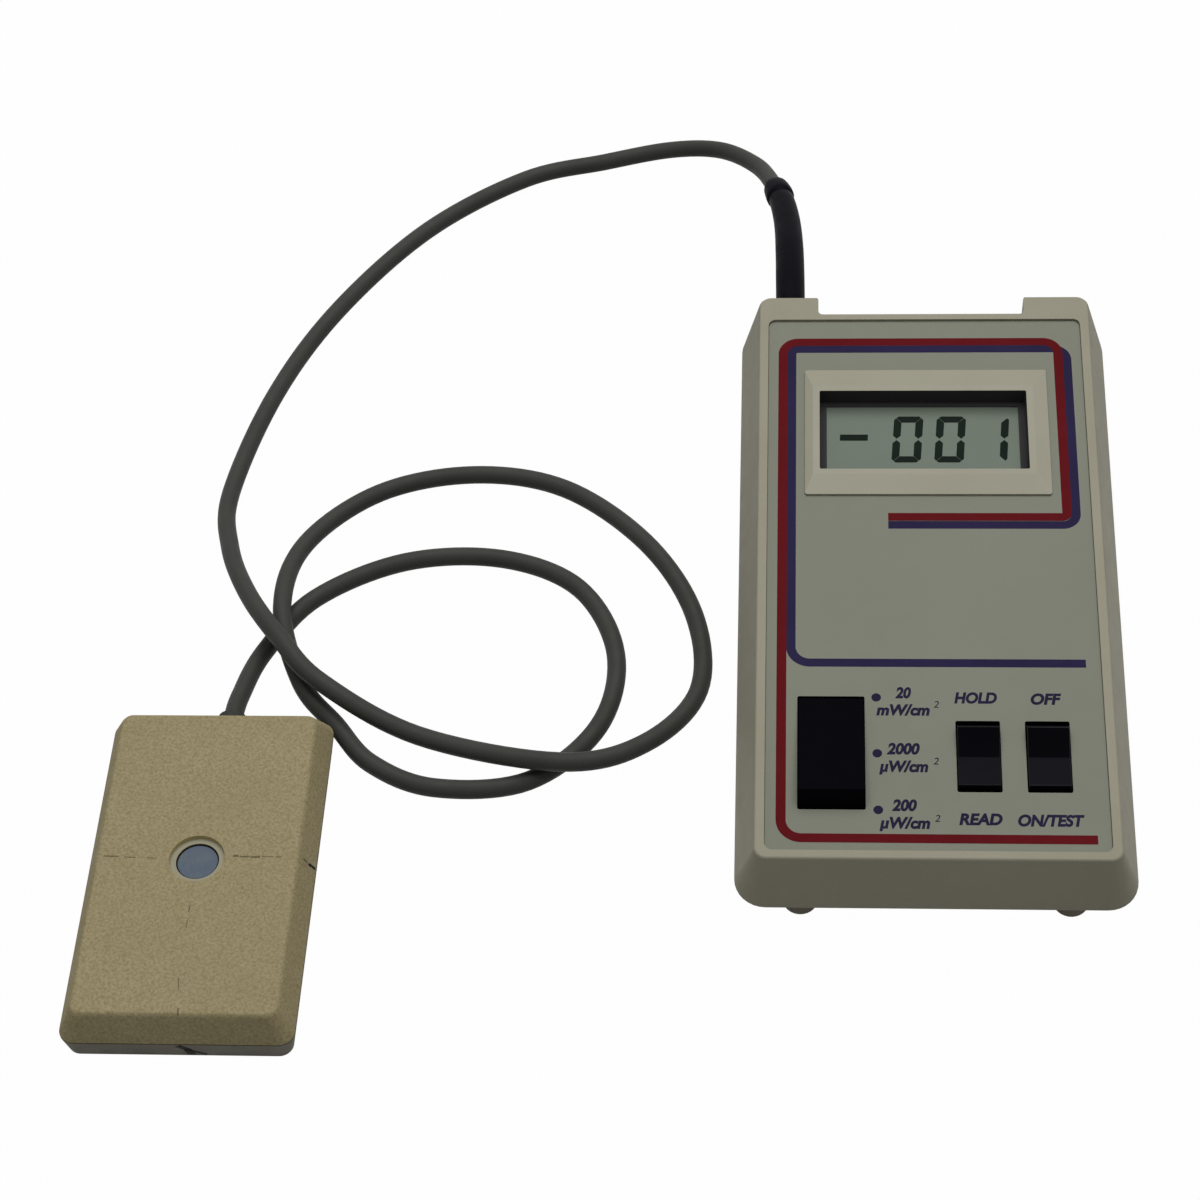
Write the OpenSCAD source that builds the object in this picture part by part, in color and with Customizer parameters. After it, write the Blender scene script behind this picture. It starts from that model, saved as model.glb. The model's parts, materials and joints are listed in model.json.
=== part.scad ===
// Handheld ultraviolet radiometer: a wedge shaped meter and its plug-in sensor head on a cable.
// Everything stands on z = 0, with x across the label, y from front to rear and z up.
// Pieces under the label are placed in the label's own frame: u across, v up the slope, w out of it.

/* [Label] */
// Width of the label panel
label_w = 70; // [68:0.5:74]
// Length of the label panel, up its slope
label_len = 137; // [135:0.2:146]
// Thickness of the label panel
label_t = 0.5; // [0.3:0.1:0.8]
// Corner radius of the label panel
label_r = 1.6; // [1:0.2:3]
// Slope of the label, in degrees
label_tilt = 7; // [6.5:0.25:9]

/* [Case] */
// Width of the rim beside the label
rim_side = 2.1; // [1.6:0.1:3]
// Width of the rim in front of the label
rim_front = 2; // [1.6:0.1:3]
// Width of the rim behind the label
rim_rear = 1.6; // [1:0.1:3]
// Height of the rim above the label
rim_h = 0.6; // [0.4:0.1:1]
// Corner radius of the rim
rim_r = 2.6; // [2:0.1:4]
// Rounding along the top edge of the rim
rim_edge = 0.6; // [0.3:0.1:0.9]
// How far the rear lugs stand behind the rim
lug_len = 5; // [3:0.2:7]
// Width of each rear lug
lug_w = 13.9; // [12:0.1:16]
// Rounding of the lugs' inner rear corners
lug_r = 1.2; // [0.8:0.1:2]
// Place of the middle of the space between the lugs, across the case
notch_u = -0.6; // [-1:0.1:1]
// Height of the parting line above the underside, at the front
front_lip = 0.74; // [0.6:0.02:1.2]
// How far the front and sides spread, from the rim to the parting line
flare = 4.2; // [3:0.1:5]
// How far the rear spreads, from the rim to the parting line
rear_flare = 0.6; // [0.5:0.1:3]
// Corner radius at the parting line
belt_r = 6.5; // [5:0.5:9]
// How far the sides of the base draw in, down to its underside
base_draft = 2.4; // [1:0.1:3]
// How far the front of the base draws in
base_front_draft = 0.5; // [0.3:0.1:1]
// Thickness of the case sides
wall = 2.2; // [1.8:0.1:2.8]
// Thickness of the case top under the label
top_wall = 1.8; // [1.4:0.1:2]
// Thickness of the base floor
floor_t = 3.2; // [3:0.1:3.6]

/* [Feet and screws] */
// Height of the rubber feet
foot_h = 4.5; // [4:0.1:4.8]
// Diameter of a foot where it meets the base
foot_d = 7.5; // [7:0.5:10]
// Diameter of the flat that a foot stands on
foot_flat_d = 4.5; // [3:0.5:8]
// Height of the bevel round that flat
foot_bevel_h = 1.6; // [0.8:0.1:3]
// Distance between the left and right feet
foot_pitch = 55.4; // [50:0.2:60]
// Distance of the rear feet from the rear of the underside
foot_rear_inset = 12.2; // [8:0.2:20]
// Diameter of the case screw bosses
boss_d = 6; // [5.4:0.2:7]
// Place of the front screws behind the label's front edge
screw_front_y = 13; // [12:0.5:16]
// Thread diameter of the case screws
screw_d = 2.8; // [2.4:0.1:3]
// Head diameter of the case screws
screw_head_d = 5.2; // [4.6:0.1:5.6]
// Head height of the case screws
screw_head_h = 1.5; // [1.2:0.1:1.7]
// Length of a case screw below its head
screw_len = 10; // [9:0.5:10.5]
// Height of the front screw seats above the underside
seat_front_h = 1.7; // [1.6:0.1:2]
// Height of the rear screw seats above the underside
seat_rear_h = 10; // [8:0.5:11]

/* [Display] */
// Width of the window
window_w = 45.8; // [44:0.2:47]
// Length of the window, up the slope
window_l = 21.5; // [20:0.1:22.5]
// Distance from the label's rear edge to the middle of the window
window_rear = 31.5; // [29:0.1:35]
// Place of the middle of the window, across the label
window_u = -0.7; // [-0.9:0.1:0.9]
// Outer width of the bezel
bezel_w = 53.7; // [52:0.1:55]
// Outer length of the bezel
bezel_l = 34.2; // [32:0.1:35]
// Height of the bezel's outer edge above the label
bezel_edge_h = 0.5; // [0.3:0.1:0.8]
// Height of the bezel's inner edge above the label
bezel_h = 1.2; // [1:0.1:1.6]
// Thickness of the bezel's collar
collar_t = 1.5; // [1:0.1:1.7]
// Depth of the display mask under the label
mask_d = 3; // [2.8:0.1:3.4]
// Thickness of the display mask
mask_t = 0.3; // [0.2:0.1:0.5]
// Width of the opening in the mask
mask_open_w = 42.6; // [40:0.2:44]
// Length of the opening in the mask
mask_open_l = 19; // [18:0.2:20]
// Width of the liquid crystal glass
lcd_w = 50.8; // [50:0.1:51]
// Length of the liquid crystal glass
lcd_l = 30.5; // [29:0.1:31]
// Thickness of the liquid crystal glass
lcd_t = 2.8; // [2.2:0.1:3]
// Height of the contact strips under the glass
strip_h = 3; // [2:0.1:3.5]
// Thickness of the holder's walls
holder_t = 1.2; // [0.8:0.1:1.3]

/* [Switches] */
// Width of the range rocker
range_w = 13.5; // [12:0.1:14]
// Half length of the range rocker's top
range_half = 11.9; // [11:0.1:12.4]
// Height of the range rocker's top above its axle
range_top = 6; // [6:0.1:7]
// Turn of the range rocker from its centre to either end
range_turn = 7.5; // [7:0.5:11]
// Distance from the label's left edge to the middle of the range rocker
range_inset = 13.6; // [13:0.1:15]
// Place of the range rocker's axle up the slope
range_v = 23.2; // [22:0.1:24]
// Width of the hold and power rockers
small_w = 8.7; // [7.4:0.1:9]
// Half length of a small rocker's top
small_half = 6.5; // [5.5:0.1:7]
// Height of a small rocker's top above its axle
small_top = 4.25; // [4:0.05:5]
// Turn of a small rocker from its centre to either end
small_turn = 7.5; // [6:0.5:9]
// Distance from the label's right edge to the middle of the power rocker
power_inset = 11.8; // [11.5:0.1:13]
// Distance between the middles of the hold and power rockers
rocker_pitch = 14.3; // [13.5:0.1:15]
// Place of the small rockers' axles up the slope
small_v = 22.4; // [22:0.1:24]
// Depth of the rocker axles under the label
axle_depth = 3.6; // [3.6:0.1:4]
// Diameter of the rocker axles
axle_d = 1.6; // [1.2:0.1:1.8]
// Running clearance of an axle in its hole
axle_gap = 0.05; // [0.03:0.01:0.08]
// Gap round a rocker
rocker_gap = 0.25; // [0.2:0.05:0.35]
// Thickness of a switch housing's cheeks
cheek_t = 1.3; // [1:0.1:1.4]

/* [Boards and battery] */
// Thickness of the circuit boards
board_t = 1.6; // [1.2:0.1:1.8]
// Diameter of the board posts
post_d = 3.6; // [3.2:0.1:3.8]
// Length of the switch board, up the slope
switch_board_l = 40; // [39:0.5:41]
// Length of the meter chip
meter_chip_l = 52; // [50:0.5:54]
// Width of the meter chip
meter_chip_w = 13.8; // [12:0.1:15]
// Thickness of the meter chip
meter_chip_t = 4; // [3:0.1:4.4]
// Length of the amplifier chip
amplifier_l = 9.6; // [9:0.1:10.4]
// Width of the amplifier chip
amplifier_w = 6.4; // [6:0.1:7]
// Thickness of the amplifier chip
amplifier_t = 3.3; // [3:0.1:3.6]
// Width of a trimmer
trimmer_w = 7; // [6:0.1:7.5]
// Height of a trimmer
trimmer_h = 4; // [3:0.1:4.5]
// Width of the flat lead between the boards
lead_w = 4.2; // [3:0.1:4.4]
// Thickness of the flat lead
lead_t = 0.9; // [0.6:0.1:1.2]
// Thread diameter of the board screws
board_screw_d = 1.6; // [1.4:0.1:1.8]
// Length of the battery body
battery_l = 46.5; // [45:0.1:47]
// Width of the battery body
battery_w = 26.2; // [25:0.1:26.5]
// Thickness of the battery body
battery_t = 17; // [16:0.1:17.1]
// Gap between the battery and the display board
battery_board_gap = 2.5; // [2:0.1:4]
// Gap between the battery and the case top, which sets the case's height
battery_headroom = 0.16; // [0.1:0.02:1]
// Place of the battery's middle across the case
battery_x = -6; // [-7:0.5:-5]
// Gap round the battery
battery_gap = 0.3; // [0.2:0.05:0.4]
// Thickness of the battery door
door_t = 1.5; // [1.3:0.1:1.7]
// How far the door reaches past the battery well
door_lap = 2; // [1.5:0.1:3]
// How far the battery door slides
door_travel = 12; // [8:1:14]
// Clearance round the door and its tongues
door_gap = 0.2; // [0.15:0.05:0.3]

/* [Probe] */
// Place of the sensor head's middle across, from the meter's middle
sensor_x = -152.4; // [-153:0.2:-152]
// Place of the sensor head's middle behind the label's front edge
sensor_y = 1.5; // [1:0.1:2]
// Width of the sensor's flat top
sensor_w = 42; // [40:0.5:44]
// Length of the sensor's flat top
sensor_l = 76; // [74:0.5:78]
// Height of the sensor
sensor_h = 12; // [12:0.1:13]
// Height of the sensor's parting line
sensor_split = 5.2; // [5:0.1:5.6]
// How far the sensor's cover spreads down to its parting line
sensor_flare = 2.9; // [2:0.1:3.4]
// Rounding along the top edge of the sensor
sensor_edge = 0.9; // [0.5:0.1:1.2]
// How far the sensor's base draws in
sensor_draft = 0.9; // [0.5:0.1:1.5]
// Wall thickness of the sensor
sensor_wall = 2; // [1.8:0.1:2.4]
// Diameter of the filter window
filter_d = 9; // [8:0.1:9.5]
// Diameter of the counterbore round the filter window
counterbore_d = 11.6; // [10:0.1:12]
// Depth of the counterbore
counterbore_depth = 1; // [0.4:0.1:1.2]
// Thickness of the filter glass
filter_t = 1.5; // [1:0.1:1.6]
// Width of the sensor's circuit board
sensor_board_w = 20; // [16:0.5:24]
// Length of the sensor's circuit board
sensor_board_l = 24; // [22:0.5:30]
// Diameter of the photodiode
diode_d = 8; // [7:0.1:8.4]
// Diameter of the cable
cable_d = 4.2; // [3.8:0.1:4.4]
// Place of the cable's way into the sensor, across from its middle
cable_off = 1.4; // [-2:0.1:2]
// Diameter of the cable boot
boot_d = 6.6; // [6:0.1:6.8]
// Diameter of the collar at the boot's end
boot_collar_d = 7; // [7:0.1:8]
// Distance from the left edge of the rim to the sensor socket's axis
socket_inset = 6.9; // [6.6:0.1:7.2]
// Gap between the sensor socket and the case top
socket_headroom = 0.37; // [0.3:0.01:0.4]
// Length of the sensor socket
socket_len = 12; // [11:0.5:12.5]
// Diameter of the sensor socket
socket_d = 8.4; // [7.6:0.1:8.4]
// Diameter of the plug
plug_d = 5.2; // [4.8:0.1:5.6]
// Depth of the plug in its socket
plug_depth = 9; // [8:0.5:10]

/* [Hidden] */
$fn = 64;

// Overshoot of a cut, and the thickness of the outlines that the case walls run between
cut = 1;
slab = 0.3;
// Fit of a screw in its thread, and of a piece that drops into its seat
thread_gap = 0.02;
seat_gap = 0.1;

// Outlines of the case in the label's frame
rim_w = label_w + 2 * rim_side;
window_v = label_len - window_rear;
range_u = range_inset - label_w / 2;
power_u = label_w / 2 - power_inset;
hold_u = power_u - rocker_pitch;
socket_x = socket_inset - rim_w / 2;
lug_v = label_len + rim_rear + lug_len;
belt_w = rim_w + 2 * flare;
belt_front_v = -rim_front - flare;
belt_rear_v = lug_v + rear_flare;
under_level = -label_t - top_wall;
cavity_rear_v = label_len + rim_rear - wall;
notch_w = rim_w - 2 * lug_w;

// A point of the label's frame in the meter's own frame
function label_y(v, w) = v * cos(label_tilt) - w * sin(label_tilt);
function label_z(v, w) = label_front_z + v * sin(label_tilt) + w * cos(label_tilt);
// Height over y of the plane that lies at one level of the label's frame
function level_z(y, w) = label_front_z + w / cos(label_tilt) + y * tan(label_tilt);

// The battery lies against the display board and just under the case top, and so sets its height
board_front_v = label_len - window_rear - lcd_l / 2 - seat_gap - holder_t;
board_under_level = -mask_d - mask_t - lcd_t - strip_h - board_t;
battery_y = label_y(board_front_v, board_under_level) - battery_board_gap - battery_w / 2;
door_z = foot_h + door_gap;
battery_z = door_z + door_t + battery_gap;
label_front_z = battery_z + battery_t + battery_headroom
    - under_level / cos(label_tilt) - (battery_y - battery_w / 2) * tan(label_tilt);

// The parting line is parallel to the label and starts just above the underside
belt_level = (foot_h + front_lip - label_front_z - belt_front_v * sin(label_tilt)) / cos(label_tilt);
skirt_d = rim_h - belt_level;

// The base in the meter's own frame
base_w = belt_w - 2 * base_draft;
base_front_y = label_y(belt_front_v, belt_level) + base_front_draft;
base_rear_y = label_y(belt_rear_v, belt_level) - base_draft;
base_r = belt_r - base_draft / 2;
floor_z = foot_h + floor_t;
boss_x = rim_w / 2 - wall - 1;
foot_front_y = base_front_y + foot_d / 2 + seat_gap;
foot_rear_y = base_rear_y - foot_rear_inset;
screw_rear_y = label_y(window_v, 0);
seat_front_z = foot_h + seat_front_h;
seat_rear_z = foot_h + seat_rear_h;
screw_holes = [[boss_x, screw_front_y, seat_front_z], [boss_x, screw_rear_y, seat_rear_z]];

// Both boards fit between the bosses
board_w = 2 * (boss_x - boss_d / 2 - 0.6);

// Levels of the display stack
lcd_level = -mask_d - mask_t;
strip_level = lcd_level - lcd_t;
display_board_level = strip_level - strip_h;
holder_w = lcd_w + 2 * (seat_gap + holder_t);
holder_l = lcd_l + 2 * (seat_gap + holder_t);
strip_w = 3;
post_spread = 17;
display_post_v = window_v + holder_l / 2 + post_d / 2 + seat_gap;
display_board_front_v = board_front_v;
display_board_rear_v = cavity_rear_v - 1;
board_notch_u = socket_x + socket_d / 2 + 1.5;
trimmer_spread = 9;

// Rockers and their housings
range_r = norm([range_half, range_top]);
small_edge = small_top + small_half * tan(small_turn);
small_r = norm([small_half, small_edge]);
rocker_hub = 1.8;
rocker_skirt = 0.6;
hub_half = 2.2;
housing_well = rocker_hub + 0.8;
housing_floor = 1.1;
axle_level = -axle_depth;
switch_board_level = axle_level - housing_well - housing_floor;
switch_board_front_v = 5;
switch_board_rear_v = switch_board_front_v + switch_board_l;
switch_post_rear = [board_w / 2 - 4.3, switch_board_rear_v - 4.3];
switch_post_middle_u = (range_u + range_w / 2 + hold_u - small_w / 2) / 2;
switch_posts = [switch_post_rear, [-switch_post_rear[0], switch_post_rear[1]],
    [switch_post_middle_u, switch_board_front_v + 5],
    [hold_u + rocker_pitch / 2, switch_board_front_v + 3]];

// Battery, its well and its door
terminal_h = 2.6;
snap_t = 4.6;
well_x0 = battery_x - battery_l / 2 - battery_gap;
well_x1 = battery_x + battery_l / 2 + snap_t + 2 * battery_gap;
well_y0 = battery_y - battery_w / 2 - battery_gap;
well_y1 = battery_y + battery_w / 2 + battery_gap;
well_wall = 1.2;
well_h = 7;
tongue_w = 1.2;
tongue_t = 0.8;
door_w = well_x1 - well_x0 + 2 * door_lap;
door_l = well_y1 - well_y0 + 2 * door_lap;
door_x = (well_x0 + well_x1) / 2;
door_y = (well_y0 + well_y1) / 2;

// Sensor socket and plug
socket_seat_y = label_y(cavity_rear_v, belt_level) + 0.4;
socket_z = level_z(socket_seat_y - socket_len, under_level) - socket_d / 2 - socket_headroom;
boot_start_y = socket_seat_y + 0.8;
boot_hole_d = boot_d + 0.5;

// Sensor head
sensor_belt_w = sensor_w + 2 * sensor_flare;
sensor_belt_l = sensor_l + 2 * sensor_flare;
sensor_floor = 1.6;
sensor_r = 2.2;
filter_z = sensor_h - counterbore_depth - 0.4 - filter_t;
filter_lip = 0.4;
ring_h = 1.6;
diode_h = 2.2;
sensor_board_z = filter_z - ring_h - 0.2 - diode_h - board_t;
sensor_screw_at = [sensor_w / 2 - 3.6, sensor_l / 2 - 3.6];
sensor_boss_d = 5;
sensor_screw_d = 2;
grommet_d = 6.4;
grommet_lap = 1.2;
cable_in_z = sensor_split;

// The whole object is centred on the box of the meter and the sensor head
x_left = sensor_x - sensor_belt_w / 2;
x_right = belt_w / 2;
y_front = sensor_y - sensor_belt_l / 2;
y_rear = label_y(belt_rear_v, belt_level);
middle = [(x_left + x_right) / 2, (y_front + y_rear) / 2, 0];

// Route of the boot and the cable, from the socket to the sensor: x, y and z
sensor_rear_y = sensor_y + sensor_belt_l / 2;
boot_route = [[socket_x, boot_start_y, socket_z], [socket_x, 149, socket_z], [-30.3, 160, 26.6],
    [-30.5, 171, 25.2], [-31, 182, 22.8], [-32.2, 193, 19.8]];
cable_route = [[-34.3, 203, 16.6], [-38.9, 215.3, 12.6], [-48.2, 225.6, 8.8], [-61, 230, 5.2],
    [-78.1, 228.2, 2.8], [-98.2, 222.3, 2.3], [-121.7, 203.3, 2.3], [-141.4, 174.8, 2.3],
    [-153.8, 145.4, 2.3], [-160.5, 113, 2.6], [-158, 93.8, 5.4], [-151.3, 76.4, 9.2],
    [-142.2, 62, 10.8], [-132.3, 51.2, 9], [-110, 39, 5.6], [-79, 30.9, 7.2],
    [-61.2, 38, 4.6], [-49.9, 54.6, 2.3], [-51.5, 76.5, 2.3], [-63.1, 98, 2.3],
    [-82.4, 114.6, 2.3], [-104, 119, 2.3], [-125.6, 113.1, 2.4], [-140.8, 95.4, 4.4],
    [-143.5, 74, 7], [-137.3, 54.3, 4.6], [-128.8, 44.2, 2.6], [-120.3, 34, 2.3],
    [-106, 27.5, 2.3], [-85.8, 29.5, 2.3], [-71.4, 44.4, 2.3], [-68.5, 64.9, 2.3],
    [-77.6, 84, 2.3], [-95.5, 92.8, 2.3], [-117.7, 91.8, 2.3], [-137.2, 80.8, 2.3],
    [-147, 64.8, 2.5], [-150.4, 51.6, 3.9], [sensor_x + cable_off, sensor_rear_y + 1.4, cable_in_z],
    [sensor_x + cable_off, sensor_rear_y - 6, cable_in_z]];
route = concat(boot_route, cable_route);
boot_steps = 2;
boot_sides = 20;
cable_sides = 8;
ring_step = 10.5;

// Smooth curve through the route, at a place s counted in route points
function near(i) = route[min(max(i, 0), len(route) - 1)];
function along(i, t) = 0.5 * (2 * near(i) + (near(i + 1) - near(i - 1)) * t
    + (2 * near(i - 1) - 5 * near(i) + 4 * near(i + 1) - near(i + 2)) * t * t
    + (3 * near(i) - near(i - 1) - 3 * near(i + 1) + near(i + 2)) * t * t * t);
function route_at(s) = let(i = min(floor(s), len(route) - 2)) along(i, s - i);
function unit(a) = a / norm(a);
function heading(s) = unit(route_at(min(s + 0.02, len(route) - 1)) - route_at(max(s - 0.02, 0)));
function ring(s, r, sides) = let(
    ahead = heading(s),
    aside = unit(cross(ahead, [0, 0, 1])),
    above = cross(aside, ahead))
    [for (k = [0:sides - 1])
        route_at(s) + r * (cos(360 * k / sides) * aside + sin(360 * k / sides) * above)];
function tube_faces(rings, sides) = concat(
    [for (k = [1:sides - 2]) [0, k, k + 1]],
    [for (k = [1:sides - 2]) [0, k + 1, k] + (rings - 1) * sides * [1, 1, 1]],
    [for (i = [0:rings - 2], k = [0:sides - 1])
        [i * sides + k, (i + 1) * sides + k, i * sides + (k + 1) % sides]],
    [for (i = [0:rings - 2], k = [0:sides - 1])
        [i * sides + (k + 1) % sides, (i + 1) * sides + k, (i + 1) * sides + (k + 1) % sides]]);

// The cable's least gap to itself and its length, measured on points of its curve
fine = 4;
cable_start = len(boot_route);
trace = [for (k = [0:fine * (len(cable_route) - 1)]) route_at(cable_start + k / fine)];
least_apart = 2 * fine;
self_gap = min([for (i = [0:len(trace) - 1])
    for (j = [i + least_apart:len(trace) - 1]) norm(trace[i] - trace[j])]);
function total(a, i = 0) = i < len(a) - 1 ? norm(a[i + 1] - a[i]) + total(a, i + 1) : 0;
echo(str("cable length ", total(trace), ", least gap to itself ", self_gap - cable_d));

module on_label() {
    translate([0, 0, label_front_z]) rotate([label_tilt, 0, 0]) children();
}

module at_sensor() {
    translate([sensor_x, sensor_y, 0]) children();
}

module placed() {
    translate(-middle) children();
}

module both_sides() {
    children();
    mirror([1, 0, 0]) children();
}

module four_corners() {
    both_sides() {
        children();
        mirror([0, 1, 0]) children();
    }
}

// Rectangle with round corners, centred
module pad(w, l, r) {
    hull() for (x = [-1, 1], y = [-1, 1])
        translate([x * (w / 2 - r), y * (l / 2 - r)]) circle(r);
}

// Thin rounded outline between two places along y, with its top or its bottom at z
module outline(w, y0, y1, r, z, h = slab) {
    translate([0, (y0 + y1) / 2, z]) linear_extrude(h) pad(w, y1 - y0, r);
}

// Spread of the case sides and rear at a level of the label's frame
function spread(level) = flare * (rim_h - level) / skirt_d;
function rear_spread(level) = rear_flare * (rim_h - level) / skirt_d;

module case_top_solid() {
    $fn = 32;
    on_label() hull() {
        outline(rim_w - 1.4 * rim_edge, 0.7 * rim_edge - rim_front, lug_v - 0.7 * rim_edge,
            rim_r - 0.7 * rim_edge, rim_h - slab / 2, slab / 2);
        outline(rim_w - 0.4 * rim_edge, 0.2 * rim_edge - rim_front, lug_v - 0.2 * rim_edge,
            rim_r - 0.2 * rim_edge, rim_h - 0.4 * rim_edge, slab / 2);
        outline(rim_w + 2 * spread(rim_h - rim_edge), -rim_front - spread(rim_h - rim_edge),
            lug_v + rear_spread(rim_h - rim_edge), rim_r, rim_h - rim_edge, slab / 2);
        outline(belt_w, belt_front_v, belt_rear_v, belt_r, belt_level - cut, slab + cut);
    }
}

module case_top_cavity() {
    $fn = 32;
    spread_u = spread(under_level);
    on_label() hull() {
        outline(rim_w + 2 * (spread_u - wall), wall - rim_front - spread_u, cavity_rear_v, rim_r,
            under_level - slab);
        outline(belt_w - 2 * wall, belt_front_v + wall, cavity_rear_v, belt_r - wall,
            belt_level - cut, slab + cut);
    }
}

module base_solid() {
    $fn = 32;
    hull() {
        on_label() outline(belt_w, belt_front_v, belt_rear_v, belt_r, belt_level - slab, slab + cut);
        outline(base_w, base_front_y, base_rear_y, base_r, foot_h);
    }
}

module base_cavity() {
    $fn = 32;
    hull() {
        on_label() outline(belt_w - 2 * wall, belt_front_v + wall, cavity_rear_v, belt_r - wall,
            belt_level - slab, slab + cut);
        outline(base_w - 2 * wall, base_front_y + wall, label_y(cavity_rear_v, belt_level),
            base_r - wall, floor_z);
    }
}

// The space between the two rear lugs, which opens out where their inner corners are round
module rear_notch() {
    half_w = notch_w / 2;
    corner_r = 1;
    steps = 6;
    mouth = [half_w + lug_r, lug_len - 0.8 * lug_r];
    side = concat(
        [for (k = [0:steps]) let(a = 90 * k / steps)
            [half_w - corner_r + corner_r * sin(a), corner_r - corner_r * cos(a)]],
        [for (k = [0:steps]) let(a = 60 * k / steps) mouth + lug_r * [-cos(a), sin(a)]],
        [mouth + lug_r * [-cos(60), sin(60)] + (lug_r + rear_flare) * [2 * sin(60), 2 * cos(60)]]);
    on_label() translate([notch_u, label_len + rim_rear, -label_len]) linear_extrude(2 * label_len)
        polygon(concat(side, [for (i = [len(side) - 1:-1:0]) [-side[i][0], side[i][1]]]));
}

module half_space(above) {
    on_label() translate([-label_w, -label_w, above ? belt_level : belt_level - label_len])
        cube([2 * label_w, 2 * label_len, label_len]);
}

// A cut through the case top and the label, in the label's frame
module opening(u, v, w, l, r) {
    $fn = 24;
    translate([u, v, under_level - cut])
        linear_extrude(top_wall + label_t + rim_h + 2 * cut) pad(w, l, r);
}

module switch_openings() {
    opening_r = 0.4;
    opening(range_u, range_v, range_w + 2 * rocker_gap, 2 * (range_r + rocker_gap), opening_r);
    for (u = [hold_u, power_u])
        opening(u, small_v, small_w + 2 * rocker_gap, 2 * (small_r + rocker_gap), opening_r);
}

module display_opening(gap) {
    opening(window_u, window_v, window_w + 2 * (collar_t + gap), window_l + 2 * (collar_t + gap), 0.8);
}

module display_posts() {
    both_sides() translate([post_spread, display_post_v, 0]) children();
}

module switch_board_posts() {
    for (p = switch_posts) translate([p[0], p[1], 0]) children();
}

module along_socket(y) {
    translate([socket_x, y, socket_z]) rotate([-90, 0, 0]) children();
}

module top_case() color([0.72, 0.7, 0.62]) placed() difference() {
    union() {
        difference() {
            case_top_solid();
            case_top_cavity();
        }
        both_sides() for (s = screw_holes)
            translate([s[0], s[1], foot_h])
                cylinder(d = boss_d, h = level_z(s[1], under_level) + top_wall / 2 - foot_h);
        on_label() {
            display_posts() translate([0, 0, display_board_level])
                cylinder(d = post_d, h = under_level + top_wall / 2 - display_board_level);
            switch_board_posts() translate([0, 0, switch_board_level])
                cylinder(d = post_d, h = under_level + top_wall / 2 - switch_board_level);
        }
    }
    half_space(false);
    rear_notch();
    on_label() {
        outline(label_w + 2 * seat_gap, -seat_gap, label_len + seat_gap, label_r + seat_gap,
            -label_t, label_t + rim_h + cut);
        switch_openings();
        display_opening(seat_gap);
        display_posts() translate([0, 0, display_board_level - cut])
            cylinder(d = board_screw_d, h = under_level - display_board_level + cut);
        switch_board_posts() translate([0, 0, switch_board_level - cut])
            cylinder(d = board_screw_d, h = under_level - switch_board_level + cut);
    }
    both_sides() for (s = screw_holes)
        translate([s[0], s[1], foot_h]) cylinder(d = screw_d, h = s[2] + screw_len + seat_gap - foot_h);
    along_socket(socket_seat_y - socket_len) cylinder(d = socket_d + 2 * seat_gap, h = socket_len);
    along_socket(socket_seat_y - cut) cylinder(d = boot_hole_d, h = lug_len + wall + rear_flare + 3 * cut);
}

module door_channel() {
    gap = door_gap;
    translate([door_x - door_w / 2 - gap, door_y - door_l / 2 - door_travel - gap, foot_h - cut])
        cube([door_w + 2 * gap, door_l + door_travel + 2 * gap, door_t + 2 * gap + cut]);
    translate([door_x - door_w / 2 - tongue_w - gap, door_y - door_l / 2 - door_travel - gap,
        door_z + door_t - tongue_t - gap])
        cube([door_w + 2 * (tongue_w + gap), door_l + door_travel + 2 * gap, tongue_t + 2 * gap]);
}

// Floor over the door's channel, as far as the door slides
module channel_roof() {
    margin = door_gap + well_wall;
    translate([door_x - door_w / 2 - tongue_w - margin, door_y - door_l / 2 - door_travel - margin, foot_h])
        cube([door_w + 2 * (tongue_w + margin), door_l + door_travel + 2 * margin, floor_t]);
}

module base_case() color([0.68, 0.66, 0.58]) placed() difference() {
    union() {
        difference() {
            base_solid();
            base_cavity();
        }
        channel_roof();
        both_sides() for (s = screw_holes)
            translate([s[0], s[1], foot_h])
                cylinder(d = screw_head_d + 2 * wall, h = level_z(s[1], belt_level) + cut - foot_h);
        translate([well_x0 - well_wall, well_y0 - well_wall, foot_h])
            cube([well_x1 - well_x0 + 2 * well_wall, well_y1 - well_y0 + 2 * well_wall, floor_t + well_h]);
    }
    half_space(true);
    rear_notch();
    translate([well_x0, well_y0, foot_h - cut])
        cube([well_x1 - well_x0, well_y1 - well_y0, floor_t + well_h + 2 * cut]);
    door_channel();
    both_sides() for (s = screw_holes) translate([s[0], s[1], 0]) {
        cylinder(d = screw_head_d + 2 * seat_gap, h = s[2]);
        cylinder(d = screw_d + 2 * seat_gap, h = label_front_z + label_len);
    }
}

module label_panel() color([0.63, 0.63, 0.57]) placed() on_label() difference() {
    outline(label_w, 0, label_len, label_r, -label_t, label_t);
    switch_openings();
    display_opening(seat_gap);
}

module display_bezel() color([0.72, 0.7, 0.6]) placed() on_label() difference() {
    union() {
        hull() {
            $fn = 32;
            translate([0, window_v, 0]) linear_extrude(bezel_edge_h) pad(bezel_w, bezel_l, 0.6);
            translate([window_u, window_v, bezel_h - slab]) linear_extrude(slab)
                pad(window_w + 2 * collar_t, window_l + 2 * collar_t, 0.5);
        }
        translate([window_u, window_v, -mask_d]) linear_extrude(mask_d + slab)
            pad(window_w + 2 * collar_t, window_l + 2 * collar_t, 0.8);
    }
    translate([window_u, window_v, -mask_d - cut])
        linear_extrude(mask_d + bezel_h + 2 * cut) pad(window_w, window_l, 0.4);
}

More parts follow.
